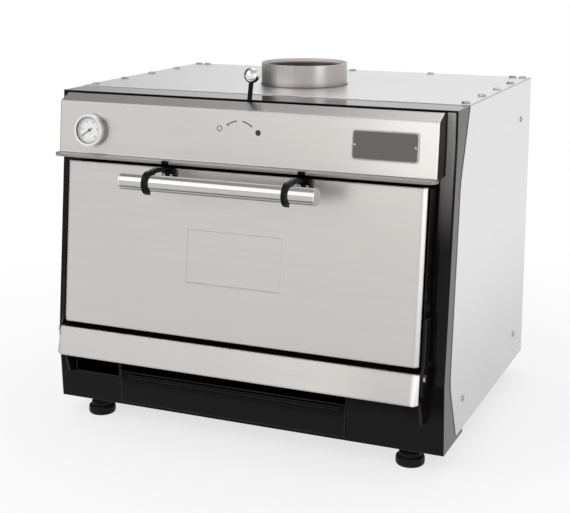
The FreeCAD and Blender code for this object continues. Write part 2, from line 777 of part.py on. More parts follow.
def flue():
    """Flue collar on the cover, the smoke duct under it and the damper with its lever."""
    outer = seat(rod("flue_radius", "flue_rise"), "0", "flue_depth", "body_height")
    bore = seat(rod("flue_radius - collar_wall", "3 * flue_rise"), "0", "flue_depth",
                "body_height - flue_rise")
    keep("flue_collar", cut(outer, bore))
    duct_tall = "body_height + flue_rise - duct_recess - roof_over"
    tube = seat(rod("duct_outer", duct_tall), "0", "flue_depth", "roof_over")
    inside = seat(rod("duct_inner", f"2 * ({duct_tall})"), "0", "flue_depth", "chamber_roof_height")
    front_hole = along_y(rod("shaft_radius + gap", "duct_outer"), "0", "flue_depth - duct_outer",
                         "shaft_height")
    rear_hole = along_y(rod("bush_radius", "duct_outer"), "0", "flue_depth", "shaft_height")
    keep("smoke_duct", cut(tube, inside, front_hole, rear_hole))

    shaft_front = "lever_depth - lever_hub_length / 2"
    keep("damper_shaft", along_y(rod("shaft_radius", f"shaft_back - ({shaft_front})"), "0", shaft_front,
                                 "shaft_height"))
    disc = rod("disc_radius", "disc_thick")
    seat(disc, "shaft_radius * sin(disc_turn)", "flue_depth",
         "shaft_height + shaft_radius * cos(disc_turn)", Vector(0, 1, 0), "disc_turn")
    keep("damper_disc", disc)
    hub = along_y(rod("lever_hub_radius", "lever_hub_length"), "0", shaft_front, "shaft_height")
    stalk = seat(rod("lever_rod_radius", "knob_reach - knob_radius / 2"), "0", "lever_depth",
                 "shaft_height", Vector(0, 1, 0), "lever_rest")
    eye = along_y(rod("shaft_radius", "3 * lever_hub_length"), "0", "lever_depth - 1.5 * lever_hub_length",
                  "shaft_height")
    keep("damper_lever", cut(fuse(hub, stalk), eye))
    ball = doc.addObject("Part::Sphere", "Ball")
    bind(ball, Radius="knob_radius")
    seat(ball, "knob_reach * sin(lever_rest)", "lever_depth", "shaft_height + knob_reach * cos(lever_rest)")
    socket = seat(rod("lever_rod_radius", "knob_reach - knob_radius / 2"), "0", "lever_depth",
                  "shaft_height", Vector(0, 1, 0), "lever_rest")
    keep("lever_knob", cut(ball, socket))

    bushes = []
    for start in ("-bush_flange", "flue_depth + duct_inner"):
        sleeve = along_y(rod("bush_radius", "bush_length"), "0", start, "shaft_height")
        hole = along_y(rod("shaft_radius + running_fit", "3 * bush_length"), "0",
                       f"{start} - bush_length", "shaft_height")
        bushes.append(cut(sleeve, hole))
    keep("damper_bushes", group(*bushes))


def lip_block(inset, back):
    """Plan of the fascia's lip as a block, drawn in by an inset and round at its two front corners."""
    side = f"fascia_half_width + lip_overhang - {inset}"
    front = f"lip_front + {inset}"
    block = plate("XY_Plane", [
        (f"-({side})", front), (side, front), (side, back), (f"-({side})", back),
    ], "lip_drop")
    return round_corners(block, [(0, f"lip_corner - {inset}"), (1, f"lip_corner - {inset}")])


def fascia():
    """Stainless fascia over the door, its ends and the bare plate on it."""
    t = "fascia_sheet"
    face = plate("YZ_Plane", [
        ("-fascia_top_forward", "fascia_top_height"), ("-fascia_edge_forward", "fascia_edge_height"),
        ("fascia_foot", "fascia_foot_height"), (f"fascia_foot + {t} / cos(lean)", "fascia_foot_height"),
        (f"-fascia_edge_forward + {t} / cos(lean)", f"fascia_edge_height - {t} / 2"),
        ("-fascia_top_forward", f"fascia_top_height - {t}"),
    ], "2 * fascia_half_width", both=True)
    seat(face, "0", "0", "0")
    sill = plate("YZ_Plane", [
        (skin("fascia_foot_height"), "fascia_foot_height"), ("fascia_foot", "fascia_foot_height"),
        ("fascia_foot", f"fascia_foot_height - {t}"),
        (skin(f"fascia_foot_height - {t}"), f"fascia_foot_height - {t}"),
    ], "2 * fascia_half_width", both=True)
    seat(sill, "0", "0", "0")
    lip = seat(lip_block("0", "fascia_foot"), "0", "0", "fascia_foot_height - lip_drop")
    under = seat(lip_block(t, f"fascia_foot + {t}"), "0", "0", f"fascia_foot_height - lip_drop - {t}")
    notches = [seat(box("lip_notch_wide", "2 * lip_notch_deep", "4 * lip_drop"),
                    f"{x} * hook_offset - lip_notch_wide / 2", "lip_front - lip_notch_deep",
                    "fascia_foot_height - 2 * lip_drop") for x in (-1, 1)]
    probe = on_fascia(rod("probe_radius + gap", "4 * probe_radius"), "-gauge_left", "-2 * probe_radius",
                      "-gauge_down", "-90")
    keep("fascia", cut(fuse(face, sill, cut(lip, under)), *notches, probe))
    ends = []
    for start in ("-fascia_half_width", "fascia_half_width - fascia_end_sheet"):
        end = plate("YZ_Plane", [
            ("0", f"fascia_top_height - {t}"), ("-fascia_top_forward", f"fascia_top_height - {t}"),
            (f"-fascia_edge_forward + {t} / cos(lean)", f"fascia_edge_height - {t} / 2"),
            (f"fascia_foot + {t} / cos(lean)", "fascia_foot_height"),
            (skin("fascia_foot_height"), "fascia_foot_height"), ("0", "lean_top"),
        ], "fascia_end_sheet")
        ends.append(seat(end, start, "0", "0"))
    keep("fascia_ends", group(*ends))
    low = "-plate_down - plate_tall"
    tall_bar = on_fascia(box("plate_wide - 2 * plate_round", "plate_thick", "plate_tall"),
                         "plate_left + plate_round", "-plate_thick", low)
    wide_bar = on_fascia(box("plate_wide", "plate_thick", "plate_tall - 2 * plate_round"),
                         "plate_left", "-plate_thick", f"{low} + plate_round")
    corners = [on_fascia(rod("plate_round", "plate_thick"), x, "0", up, "90")
               for x in ("plate_left + plate_round", "plate_left + plate_wide - plate_round")
               for up in (f"{low} + plate_round", "-plate_down - plate_round")]
    keep("bare_plate", fuse(tall_bar, wide_bar, *corners))
    screws = [on_fascia(rod("plate_screw_radius", "plate_screw_head"), x, "-plate_thick",
                        "-plate_down - plate_tall / 2", "90")
              for x in ("plate_left + plate_screw_inset", "plate_left + plate_wide - plate_screw_inset")]
    keep("plate_screws", group(*screws))


def on_gauge(item, lift):
    """Place an object on the gauge's axis, with its own Z pointing out of the fascia."""
    return on_fascia(item, "-gauge_left", f"-({lift})", "-gauge_down", "90")


def gauge():
    """Dial gauge on the fascia: case, bezel, dial, glass, pointer and probe."""
    shell = on_gauge(rod("gauge_case_radius", "gauge_case_length"), "0")
    hollow = on_gauge(rod("gauge_case_radius - gauge_wall", "gauge_case_length"), "gauge_dial_seat")
    keep("gauge_case", cut(shell, hollow))
    keep("gauge_dial", on_gauge(rod("gauge_case_radius - gauge_wall - gap / 2", "gauge_dial_thick"),
                                "gauge_dial_seat"))
    keep("gauge_glass", on_gauge(rod("gauge_case_radius - gauge_wall - gap / 2", "gauge_glass_thick"),
                                 "gauge_case_length - gauge_glass_thick"))
    ring = on_gauge(rod("gauge_radius", "gauge_case_length - gauge_dial_seat + gauge_bezel_lip"),
                    "gauge_dial_seat")
    seat_hole = on_gauge(rod("gauge_case_radius", "gauge_case_length"), "0")
    sight = on_gauge(rod("gauge_window_radius", "2 * gauge_case_length"), "0")
    keep("gauge_bezel", cut(ring, seat_hole, sight))

    hub = rod("pointer_hub_radius", "pointer_hub_thick")
    needle = box("pointer_reach + pointer_tail", "pointer_wide", "pointer_thick")
    needle.Placement.Rotation = Rotation(Vector(0, 0, 1), 1)
    needle.setExpression("Placement.Rotation.Angle", ex("pointer_cold"))
    bind(needle, **{
        "Placement.Base.x": "-pointer_tail * cos(pointer_cold) + pointer_wide / 2 * sin(pointer_cold)",
        "Placement.Base.y": "-pointer_tail * sin(pointer_cold) - pointer_wide / 2 * cos(pointer_cold)",
    })
    keep("gauge_pointer", on_gauge(fuse(hub, needle), "gauge_dial_seat + gauge_dial_thick + gap"))

    run = on_fascia(rod("probe_radius", "probe_run"), "-gauge_left", "0", "-gauge_down", "-90")
    drop = seat(rod("probe_radius", "probe_drop"), "-gauge_left", "probe_depth",
                "probe_height - probe_drop")
    elbow = doc.addObject("Part::Sphere", "Elbow")
    bind(elbow, Radius="probe_radius")
    seat(elbow, "-gauge_left", "probe_depth", "probe_height")
    keep("gauge_probe", fuse(run, elbow, drop))


def door():
    """Drop-down door: stainless skin, black liner pan, insulation, rope seal."""
    rear = "skin_depth - door_face"
    skin_block = plate("XY_Plane", [
        ("-door_half_width", rear), ("-door_half_width", "face_out + door_bevel"),
        ("-door_half_width + door_bevel", "face_out"), ("door_half_width - door_bevel", "face_out"),
        ("door_half_width", "face_out + door_bevel"), ("door_half_width", rear),
    ], "door_height")
    on_door(skin_block, "0", "0", "door_foot")
    inner = "(door_half_width - door_bevel - door_sheet)"
    hollow = on_door(box(f"2 * {inner}", "2 * skin_depth", "door_height - 2 * door_sheet"), f"-{inner}",
                     "face_out + door_sheet", "door_foot + door_sheet")
    emboss = on_door(box("2 * emboss_half_width", "2 * emboss_rise", "emboss_tall"), "-emboss_half_width",
                     "face_out - emboss_rise", "emboss_low")
    keep("door_skin", fuse(cut(skin_block, hollow), emboss))

    pan_foot = "door_foot + door_sheet"
    pan_tall = "(door_height - 2 * door_sheet)"
    pan = on_door(box("2 * liner_half_width", "liner_depth", pan_tall), "-liner_half_width", rear, pan_foot)
    cavity = on_door(box("2 * (liner_half_width - liner_sheet)", "liner_depth",
                         f"{pan_tall} - 2 * liner_sheet"),
                     "-liner_half_width + liner_sheet", f"{rear} - liner_sheet",
                     f"{pan_foot} + liner_sheet")
    keep("door_liner", cut(pan, cavity))
    keep("door_insulation", on_door(
        box(f"2 * {inner} - 2 * gap", "liner_depth + skin_depth - door_sheet - liner_sheet - 2 * gap",
            f"{pan_tall} - 2 * liner_sheet - 2 * gap"),
        f"-{inner} + gap", "face_out + door_sheet + gap", f"{pan_foot} + liner_sheet + gap"))

    seal_half = "(mouth_width / 2 + gasket_inset)"
    seal_foot = "((mouth_bottom - hinge_height + skin_gap * sin(lean)) / cos(lean) - gasket_inset)"
    seal_head = "((mouth_top - hinge_height + skin_gap * sin(lean)) / cos(lean) + gasket_inset)"
    thick = "skin_gap - gap - liner_rear"
    around = on_door(box(f"2 * ({seal_half} + gasket_wide)", thick,
                         f"{seal_head} - {seal_foot} + 2 * gasket_wide"),
                     f"-{seal_half} - gasket_wide", "liner_rear", f"{seal_foot} - gasket_wide")
    within = on_door(box(f"2 * {seal_half}", f"3 * ({thick})", f"{seal_head} - {seal_foot}"),
                     f"-{seal_half}", f"liner_rear - ({thick})", seal_foot)
    keep("door_gasket", cut(around, within))


def hinges():
    """Fixed brackets and pins on the frame, and the arms that carry the door."""
    brackets, arms, pins = [], [], []
    for side in (-1, 1):
        bracket = plate("YZ_Plane", [
            (skin("bracket_top"), "bracket_top"), ("-hinge_forward", "bracket_top"),
            ("-hinge_forward - bracket_nose", "hinge_height"),
            ("bracket_lip", "bracket_lip_height"),
            ("bracket_chin", "bracket_lip_height - bracket_chin_drop"),
            ("bracket_chin + bracket_shin_behind", "bracket_shin_height"),
            (toe_line("bracket_toe_height"), "bracket_toe_height"), ("nose", "nose_height"),
        ], "bracket_sheet")
        inner_face = "-bracket_outer" if side < 0 else "bracket_outer - bracket_sheet"
        seat(bracket, inner_face, "0", "0")
        bore = along_x(rod("pin_radius + running_fit", "6 * bracket_sheet"),
                       f"{side} * bracket_outer - 3 * bracket_sheet", "-hinge_forward", "hinge_height")
        brackets.append(cut(bracket, bore))
        arm = plate("YZ_Plane", [
            ("-arm_half", "-arm_heel"), ("arm_half", "-arm_heel"), ("arm_half", "arm_half"),
            ("arm_back", "arm_shoulder"), ("arm_back", "arm_reach"), ("0", "arm_reach"),
            ("0", "arm_shoulder"), ("-arm_half", "arm_half"),
        ], "arm_sheet")
        arm_start = "-liner_half_width - arm_sheet" if side < 0 else "liner_half_width"
        on_door(arm, arm_start, "0", "0")
        arms.append(cut(arm, bore))
        pin_inner = f"{side} * (bracket_outer - bracket_sheet)"
        arm_outer = "liner_half_width + arm_sheet + gap"
        long = f"{arm_outer} + pin_head - bracket_outer + bracket_sheet"
        pin_start = pin_inner if side > 0 else f"-({arm_outer} + pin_head)"
        head_start = arm_outer if side > 0 else f"-({arm_outer} + pin_head)"
        pin = along_x(rod("pin_radius", long), pin_start, "-hinge_forward", "hinge_height")
        head = along_x(hexagon("2 * pin_head_radius", "pin_head"), head_start, "-hinge_forward",
                       "hinge_height")
        pins.append(fuse(pin, head))
    keep("hinge_brackets", group(*brackets))
    keep("hinge_arms", group(*arms))
    keep("hinge_pins", group(*pins))


def handle():
    """Tube handle in two black hooks that are bolted to the door."""
    tube = on_door(rod("handle_radius", "2 * (handle_half_length - handle_cap)"),
                   "-handle_half_length + handle_cap", "handle_out", "handle_up")
    bore = on_door(rod("handle_radius - handle_wall", "2 * handle_half_length"), "-handle_half_length",
                   "handle_out", "handle_up")
    for item in (tube, bore):
        turn_along_x(item)
    keep("handle_tube", cut(tube, bore))
    caps = []
    for disc_start, plug_start in (
            ("-handle_half_length", "-handle_half_length + handle_cap"),
            ("handle_half_length - handle_cap", "handle_half_length - handle_cap - handle_plug")):
        disc = turn_along_x(on_door(rod("handle_radius", "handle_cap"), disc_start,
                                    "handle_out", "handle_up"))
        plug = turn_along_x(on_door(rod("handle_radius - handle_wall", "handle_plug"), plug_start,
                                    "handle_out", "handle_up"))
        caps.append(fuse(disc, plug))
    keep("handle_caps", group(*caps))

    hooks, bolts = [], []
    for side in (-1, 1):
        centre = f"{side} * hook_offset"
        ring = turn_along_x(on_door(rod("hook_radius", "hook_thick"), f"{centre} - hook_thick / 2",
                                    "handle_out", "handle_up"))
        arch = [(f"hook_middle + {step} * hook_half_span",
                 f"handle_up + hook_arm_high + hook_arch * {1 - step * step}") for step in HOOK_STEPS]
        belly = [(f"(face_out + handle_out) / 2 - {step} * (face_out - handle_out) / 2",
                  f"handle_up + hook_arm_low + hook_belly * {1 - step ** 4}") for step in HOOK_STEPS]
        arm = plate("YZ_Plane", [*belly, *arch], "hook_thick")
        on_door(arm, f"{centre} - hook_thick / 2", "0", "0")
        foot = on_door(box("2 * hook_foot_half", "hook_foot_thick", "hook_foot_high - hook_foot_low"),
                       f"{centre} - hook_foot_half", "face_out - hook_foot_thick",
                       "handle_up + hook_foot_low")
        hole = turn_along_x(on_door(rod("handle_radius", "4 * hook_thick"), f"{centre} - 2 * hook_thick",
                                    "handle_out", "handle_up"))
        mouth = on_door(box("4 * hook_thick", "hook_radius + handle_wall",
                            "hook_radius + handle_wall + hook_arm_low"),
                        f"{centre} - 2 * hook_thick", "handle_out + handle_wall",
                        "handle_up - hook_radius - handle_wall")
        hooks.append(cut(fuse(ring, arm, foot), hole, mouth))
        for offset in ("-hook_bolt_offset", "hook_bolt_offset"):
            bolts.append(on_door(rod("hook_bolt_radius", "hook_bolt_head"), f"{centre} + ({offset})",
                                 "face_out - hook_foot_thick", "handle_up + hook_bolt_up", "90"))
    keep("handle_hooks", group(*hooks))
    keep("handle_bolts", group(*bolts))


def turn_along_x(item):
    """Turn a placed cylinder so that it runs towards +X."""
    item.setExpression("Placement.Rotation.Angle", None)
    item.Placement.Rotation = Rotation(Vector(0, 1, 0), 90)
    return item


def apron():
    """Bent stainless apron under the door, with flared corners, on the front edges of the brackets."""
    names = [name for name in (*SIZES, *DERIVED) if name.startswith("apron")]
    size = {name: float(sheet.evalExpression(ex(name).replace("Sizes.", ""))) for name in names}
    size["tilt"] = math.tan(math.radians(size["apron_lean"]))
    top_y, top_z = -size["apron_forward"], size["apron_top"]
    foot_z = top_z - size["apron_height"]
    foot_y = top_y - size["apron_height"] * size["tilt"]
    half_top, half_foot, wing = size["apron_half_top"], size["apron_half_foot"], size["apron_wing_half"]
    wing_y, wing_z = foot_y + size["apron_wing_back"], foot_z + size["apron_wing_rise"]
    hem_y = top_y + size["apron_hem"]
    behind, under = Vector(0, 1, 0), Vector(0, 0, -1)
    sheets = [([(-half_top, top_y, top_z), (half_top, top_y, top_z),
                (half_foot, foot_y, foot_z), (-half_foot, foot_y, foot_z)], behind),
              ([(-half_top, top_y, top_z), (-half_top, hem_y, top_z),
                (half_top, hem_y, top_z), (half_top, top_y, top_z)], under)]
    for side in (-1, 1):
        sheets.append(([(side * half_top, top_y, top_z), (side * wing, wing_y, wing_z),
                        (side * half_foot, foot_y, foot_z)], behind))
    slabs = []
    for corners, towards in sheets:
        points = [Vector(*corner) for corner in corners]
        face = Part.Face(Part.makePolygon(points + points[:1]))
        normal = face.normalAt(0, 0)
        inward = normal if normal.dot(towards) > 0 else normal * -1
        slabs.append(face.extrude(inward * size["apron_sheet"]))
    solid = slabs[0].multiFuse(slabs[1:])
    item = doc.addObject("Part::Feature", "Apron")
    item.Shape = solid.removeSplitter()
    keep("apron", seat(item, "0", "0", "0"))


def drawer():
    """Ash drawer: black front with a pull lip, pan tray, and the runners under it."""
    low = "drawer_low + drawer_gap"
    top = "(drawer_low + drawer_tall)"
    left = "-drawer_left + drawer_gap"
    front = seat(box("drawer_wide - 2 * drawer_gap", "drawer_sheet", f"{top} - {low}"), left,
                 "-drawer_forward", low)
    lip = seat(box("drawer_lip_wide", "drawer_lip_out", "drawer_lip_thick"), "-drawer_lip_left",
               "-drawer_forward - drawer_lip_out", f"{top} - drawer_lip_thick")
    edge = seat(box("drawer_lip_wide", "drawer_lip_thick", "drawer_lip_drop"), "-drawer_lip_left",
                "-drawer_forward - drawer_lip_out", f"{top} - drawer_lip_drop")
    keep("drawer_front", fuse(front, lip, edge))
    tray_front = "-drawer_forward + drawer_sheet"
    pan = seat(box("tray_wide", "tray_length", "tray_tall"), "-tray_left", tray_front, "tray_low")
    hollow = seat(box("tray_wide - 2 * tray_sheet", "tray_length - 2 * tray_sheet", "tray_tall"),
                  "-tray_left + tray_sheet", f"{tray_front} + tray_sheet", "tray_low + tray_sheet")
    keep("drawer_tray", cut(pan, hollow))
    runners = []
    for rest, web_start, guide in (
            ("-tray_left", "-tray_left - gap", "-tray_left - gap - runner_guide"),
            ("tray_right - runner_wide", "tray_right", "tray_right + gap")):
        flat = seat(box("runner_wide", "runner_length", "tray_low - floor_over - gap"), rest,
                    "runner_front_depth", "floor_over")
        web = seat(box("gap", "runner_length", "tray_low - floor_over - gap"), web_start,
                   "runner_front_depth", "floor_over")
        upright = seat(box("runner_guide", "runner_length", "runner_guide_tall"), guide,
                       "runner_front_depth", "floor_over")
        runners.append(fuse(flat, web, upright))
    keep("drawer_runners", group(*runners))


def feet():
    """Four round feet on threaded studs, with their lock nuts."""
    pads, studs, nuts = [], [], []
    for x in ("-foot_side", "foot_side"):
        for y, nut_seat in (("foot_front_depth", "frame_sheet"), ("foot_back_depth", "floor_over")):
            base = seat(rod("foot_radius", "foot_base"), x, y, "-foot_height")
            neck = seat(rod("foot_neck_radius", "foot_neck"), x, y, "-foot_height + foot_base")
            hole = seat(rod("stud_radius", "foot_height"), x, y, "-foot_height + foot_base / 2")
            pads.append(cut(fuse(base, neck), hole))
            stud_low = "-foot_height + foot_base / 2"
            stud_high = f"{nut_seat} - frame_sheet + stud_up"
            studs.append(seat(rod("stud_radius", f"{stud_high} - ({stud_low})"), x, y, stud_low))
            eye = seat(rod("stud_radius", "3 * nut_tall"), x, y, f"{nut_seat} - nut_tall")
            nuts.append(cut(seat(hexagon("nut_across_corners", "nut_tall"), x, y, nut_seat), eye))
    keep("foot_pads", group(*pads))
    keep("foot_studs", group(*studs))
    keep("foot_nuts", group(*nuts))


def write():
    """Check every object, then write each sub-part to its file."""
    doc.recompute()
    failed = [item.Label for item in doc.Objects if {"Invalid", "Error"} & set(item.State)]
    if failed:
        raise RuntimeError(f"failed objects: {failed}")
    for name, item in pieces.items():
        if item.Shape.isNull() or not item.Shape.isValid() or not item.Shape.Solids:
            raise RuntimeError(f"bad shape: {name}")
    os.makedirs("parts", exist_ok=True)
    for name, item in pieces.items():
        item.Shape.exportStep(f"parts/{name}.step")
        span = item.Shape.BoundBox
        print(f"{name}: {len(item.Shape.Solids)} solids, {span.XLength:.1f} x {span.YLength:.1f} x "
              f"{span.ZLength:.1f}")


for make in (front_frame, carcass, chamber, flue, fascia, gauge, door, hinges, handle, apron, drawer, feet):
    make()
write()
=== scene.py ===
"""Charcoal oven: finishes, small fittings, floor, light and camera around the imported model."""
from __future__ import annotations

import json
import logging
import math
from dataclasses import dataclass
from enum import Enum
from typing import Callable, Sequence, Union

import bpy
from mathutils import Matrix, Vector


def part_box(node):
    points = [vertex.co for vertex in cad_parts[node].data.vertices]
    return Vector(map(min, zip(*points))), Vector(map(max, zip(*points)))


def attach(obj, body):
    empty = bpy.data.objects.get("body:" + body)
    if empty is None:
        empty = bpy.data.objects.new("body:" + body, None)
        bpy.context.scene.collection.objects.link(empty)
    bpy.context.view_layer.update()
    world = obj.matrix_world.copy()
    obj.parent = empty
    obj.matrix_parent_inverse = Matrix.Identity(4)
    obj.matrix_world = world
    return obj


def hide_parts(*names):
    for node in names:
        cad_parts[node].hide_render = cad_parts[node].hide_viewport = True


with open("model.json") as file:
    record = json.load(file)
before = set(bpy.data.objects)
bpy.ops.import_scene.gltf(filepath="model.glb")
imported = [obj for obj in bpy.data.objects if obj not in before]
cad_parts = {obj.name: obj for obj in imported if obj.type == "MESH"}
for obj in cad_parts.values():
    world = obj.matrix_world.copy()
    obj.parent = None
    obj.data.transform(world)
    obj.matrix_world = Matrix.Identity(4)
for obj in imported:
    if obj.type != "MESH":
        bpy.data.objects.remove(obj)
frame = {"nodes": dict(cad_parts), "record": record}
log = logging.getLogger("charcoal_oven")

Colour = tuple[float, float, float]
Point = tuple[float, float, float]
Span = tuple[float, float]
Number = Union["Value", float]

MM = 0.001
# The front frame's top edge in y, the body's height over the floor, and the lean of the front.
DATUM = -0.2400912
FOOT = 0.043
LEAN = math.radians(6)
# Edges up to this many degrees are smoothed, on hard and on soft pieces.
HARD_CREASE = 35.0
SOFT_CREASE = 80.0
# The radius, in metres, that closes the middle of a turned piece.
CLOSED = 0.0001
WHITE = (1.0, 1.0, 1.0)


class Value:
    """A number that a shader works out at each point, written with Python's operators."""

    def __init__(self, graph: Graph, socket: bpy.types.NodeSocket) -> None:
        """Keep the socket and the graph that it belongs to."""
        self.graph = graph
        self.socket = socket

    def __add__(self, other: Number) -> Value:
        """self + other."""
        return self.graph.math("ADD", self, other)

    def __sub__(self, other: Number) -> Value:
        """self - other."""
        return self.graph.math("SUBTRACT", self, other)

    def __rsub__(self, other: Number) -> Value:
        """other - self."""
        return self.graph.math("SUBTRACT", other, self)

    def __mul__(self, other: Number) -> Value:
        """self * other."""
        return self.graph.math("MULTIPLY", self, other)

    def __pow__(self, other: Number) -> Value:
        """self to the power of other."""
        return self.graph.math("POWER", self, other)

    def __rpow__(self, other: Number) -> Value:
        """other to the power of self."""
        return self.graph.math("POWER", other, self)

    def __abs__(self) -> Value:
        """The size of self."""
        return self.graph.math("ABSOLUTE", self)

    __radd__ = __add__
    __rmul__ = __mul__

    def step(self, low: float, high: float) -> Value:
        """Rise smoothly from 0 at low to 1 at high, or fall if low is the larger.

        Args:
            low: Where the result is 0.
            high: Where the result is 1.

        Returns:
            The smooth step.
        """
        flip = low > high
        node = self.graph.add(
            "ShaderNodeMapRange", {"interpolation_type": "SMOOTHSTEP"},
            {"Value": self, "From Min": min(low, high), "From Max": max(low, high),
             "To Min": float(flip), "To Max": float(not flip)},
        )
        return Value(self.graph, node.outputs["Result"])


Feed = Union[Value, bpy.types.NodeSocket, float, Sequence[float]]


class Graph:
    """The node tree of one material or world."""

    # How near the rounded normal stays to the flat one: away from an edge, and on it.
    FLAT_FACE = 0.995
    ON_EDGE = 0.85

    def __init__(self, tree: bpy.types.NodeTree) -> None:
        """Start from an empty tree."""
        self.tree = tree
        self.tree.nodes.clear()

    def add(self, kind: str, settings: dict | None = None, sockets: dict | None = None) -> bpy.types.Node:
        """Add any node.

        Args:
            kind: The node's type.
            settings: Its own settings, set first.
            sockets: Values or links for its inputs, by name or number.

        Returns:
            The new node.
        """
        node = self.tree.nodes.new(kind)
        for key, value in (settings or {}).items():
            setattr(node, key, value)
        for key, value in (sockets or {}).items():
            self.feed(node.inputs[key], value)
        return node

    def feed(self, socket: bpy.types.NodeSocket, value: Feed) -> None:
        """Link a value into an input, or set the input to a constant.

        Args:
            socket: The input.
            value: What it gets.
        """
        if isinstance(value, Value):
            value = value.socket
        if isinstance(value, bpy.types.NodeSocket):
            self.tree.links.new(value, socket)
        elif socket.type == "RGBA":
            socket.default_value = (*value[:3], 1.0)
        else:
            socket.default_value = value

    def math(self, operation: str, *values: Number) -> Value:
        """Add one Math node on numbers."""
        node = self.add("ShaderNodeMath", {"operation": operation}, dict(enumerate(values)))
        return Value(self, node.outputs[0])

    def place(self) -> bpy.types.NodeSocket:
        """The point on the piece, in metres in the oven's frame."""
        return self.add("ShaderNodeTexCoord").outputs["Object"]

    def outward(self) -> bpy.types.NodeSocket:
        """The way that the surface faces."""
        return self.add("ShaderNodeNewGeometry").outputs["Normal"]

    def scaled(self, vector: bpy.types.NodeSocket, by: Sequence[float]) -> bpy.types.NodeSocket:
        """A vector with each part multiplied by a number."""
        node = self.add("ShaderNodeVectorMath", {"operation": "MULTIPLY"}, {0: vector, 1: by})
        return node.outputs[0]

    def split(self, vector: bpy.types.NodeSocket) -> tuple[Value, Value, Value]:
        """The three parts of a vector."""
        node = self.add("ShaderNodeSeparateXYZ", None, {0: vector})
        return tuple(Value(self, out) for out in node.outputs)

    def noise(self, vector: bpy.types.NodeSocket, scale: float, detail: float) -> Value:
        """Soft noise between 0 and 1."""
        node = self.add("ShaderNodeTexNoise", {"noise_dimensions": "3D"},
                        {"Vector": vector, "Scale": scale, "Detail": detail})
        return Value(self, node.outputs[0])

    def cells(self, vector: bpy.types.NodeSocket, scale: float) -> bpy.types.bpy_prop_collection:
        """Cells round many scattered points: the distance to the nearest, and a colour for each."""
        node = self.add("ShaderNodeTexVoronoi", {"feature": "F1"}, {"Vector": vector, "Scale": scale})
        return node.outputs

    def mix(self, factor: Number, first: Feed, second: Feed) -> bpy.types.NodeSocket:
        """Blend two colours."""
        node = self.add("ShaderNodeMix", {"data_type": "RGBA", "clamp_factor": True},
                        {0: factor, 6: first, 7: second})
        return node.outputs[2]

    def rounded(self, radius: float) -> bpy.types.NodeSocket:
        """Normals that catch light along edges, as on a real folded or cut edge."""
        return self.add("ShaderNodeBevel", {"samples": 4}, {"Radius": radius}).outputs[0]

    def edges(self, radius: float) -> Value:
        """Find the edges.

        Args:
            radius: How far an edge reaches.

        Returns:
            1 along edges and 0 on flat faces.
        """
        node = self.add("ShaderNodeVectorMath", {"operation": "DOT_PRODUCT"},
                        {0: self.rounded(radius), 1: self.outward()})
        return Value(self, node.outputs["Value"]).step(self.FLAT_FACE, self.ON_EDGE)

    def bump(self, height: Value, strength: float, depth: float,
             normal: bpy.types.NodeSocket | None = None) -> bpy.types.NodeSocket:
        """Tilt the normals by a height.

        Args:
            height: The height, between 0 and 1.
            strength: How much of it counts.
            depth: The height of 1, in metres.
            normal: Normals to start from.

        Returns:
            The tilted normals.
        """
        sockets = {"Height": height, "Strength": strength, "Distance": depth}
        if normal is not None:
            sockets["Normal"] = normal
        return self.add("ShaderNodeBump", None, sockets).outputs[0]

    def rays(self, *kinds: str) -> list[Value]:
        """For each kind of ray, 1 where the light comes by it and 0 elsewhere."""
        path = self.add("ShaderNodeLightPath").outputs
        return [Value(self, path[f"Is {kind} Ray"]) for kind in kinds]

    def seen(self) -> Value:
        """1 for what the eye sees straight, in a reflection or through glass, and 0 for other light."""
        straight, mirrored, through = self.rays("Camera", "Glossy", "Transmission")
        return self.math("MINIMUM", straight + mirrored + through, 1.0)

    def blend(self, factor: Value, first: bpy.types.Node, second: bpy.types.Node) -> bpy.types.NodeSocket:
        """Blend two shaders."""
        sockets = {0: factor, 1: first.outputs[0], 2: second.outputs[0]}
        return self.add("ShaderNodeMixShader", None, sockets).outputs[0]

    def surface(self, **sockets: Feed) -> None:
        """End the graph in one Principled shader.

        Args:
            sockets: Its inputs, named with underscores.
        """
        named = {key.replace("_", " "): value for key, value in sockets.items()}
        shader = self.add("ShaderNodeBsdfPrincipled", None, named)
        self.add("ShaderNodeOutputMaterial", None, {"Surface": shader.outputs[0]})


def tinted(colour: Colour, by: float) -> Colour:
    """A colour made lighter or darker."""
    return tuple(min(1.0, part * by) for part in colour)


@dataclass(frozen=True)
class Finish:
    """What every finish has: a name and a way to become a material."""

    name: str

    def lay(self, graph: Graph) -> None:
        """Lay the finish into an empty graph, as each kind of finish does in its own way."""
        raise NotImplementedError

    def make(self) -> bpy.types.Material:
        """Make the material.

        Returns:
            A new material that carries the finish.
        """
        material = bpy.data.materials.new(self.name)
        material.use_nodes = True
        self.lay(Graph(material.node_tree))
        return material


class Grain(Enum):
    """Which way a steel sheet was brushed: fine and broad streak scales along x, y and z."""

    ACROSS = ((5, 1100, 1100), (1.5, 90, 90))
    UPRIGHT = ((1100, 1100, 5), (90, 90, 1.5))
    DEEP = ((1100, 5, 1100), (90, 1.5, 90))


@dataclass(frozen=True)
class PaintedLight:
    """Where a sheet has a painted highlight or painted shade: across x from start to full, between two
    heights.
    """

    start: float
    full: float
    low: float
    high: float
    lift: float
    fade: float = 0.001

    def mask(self, x: Value, z: Value) -> Value:
        """1 inside the stretch and 0 outside it."""
        between = z.step(self.low - self.fade, self.low) * z.step(self.high + self.fade, self.high)
        return x.step(self.start, self.full) * between


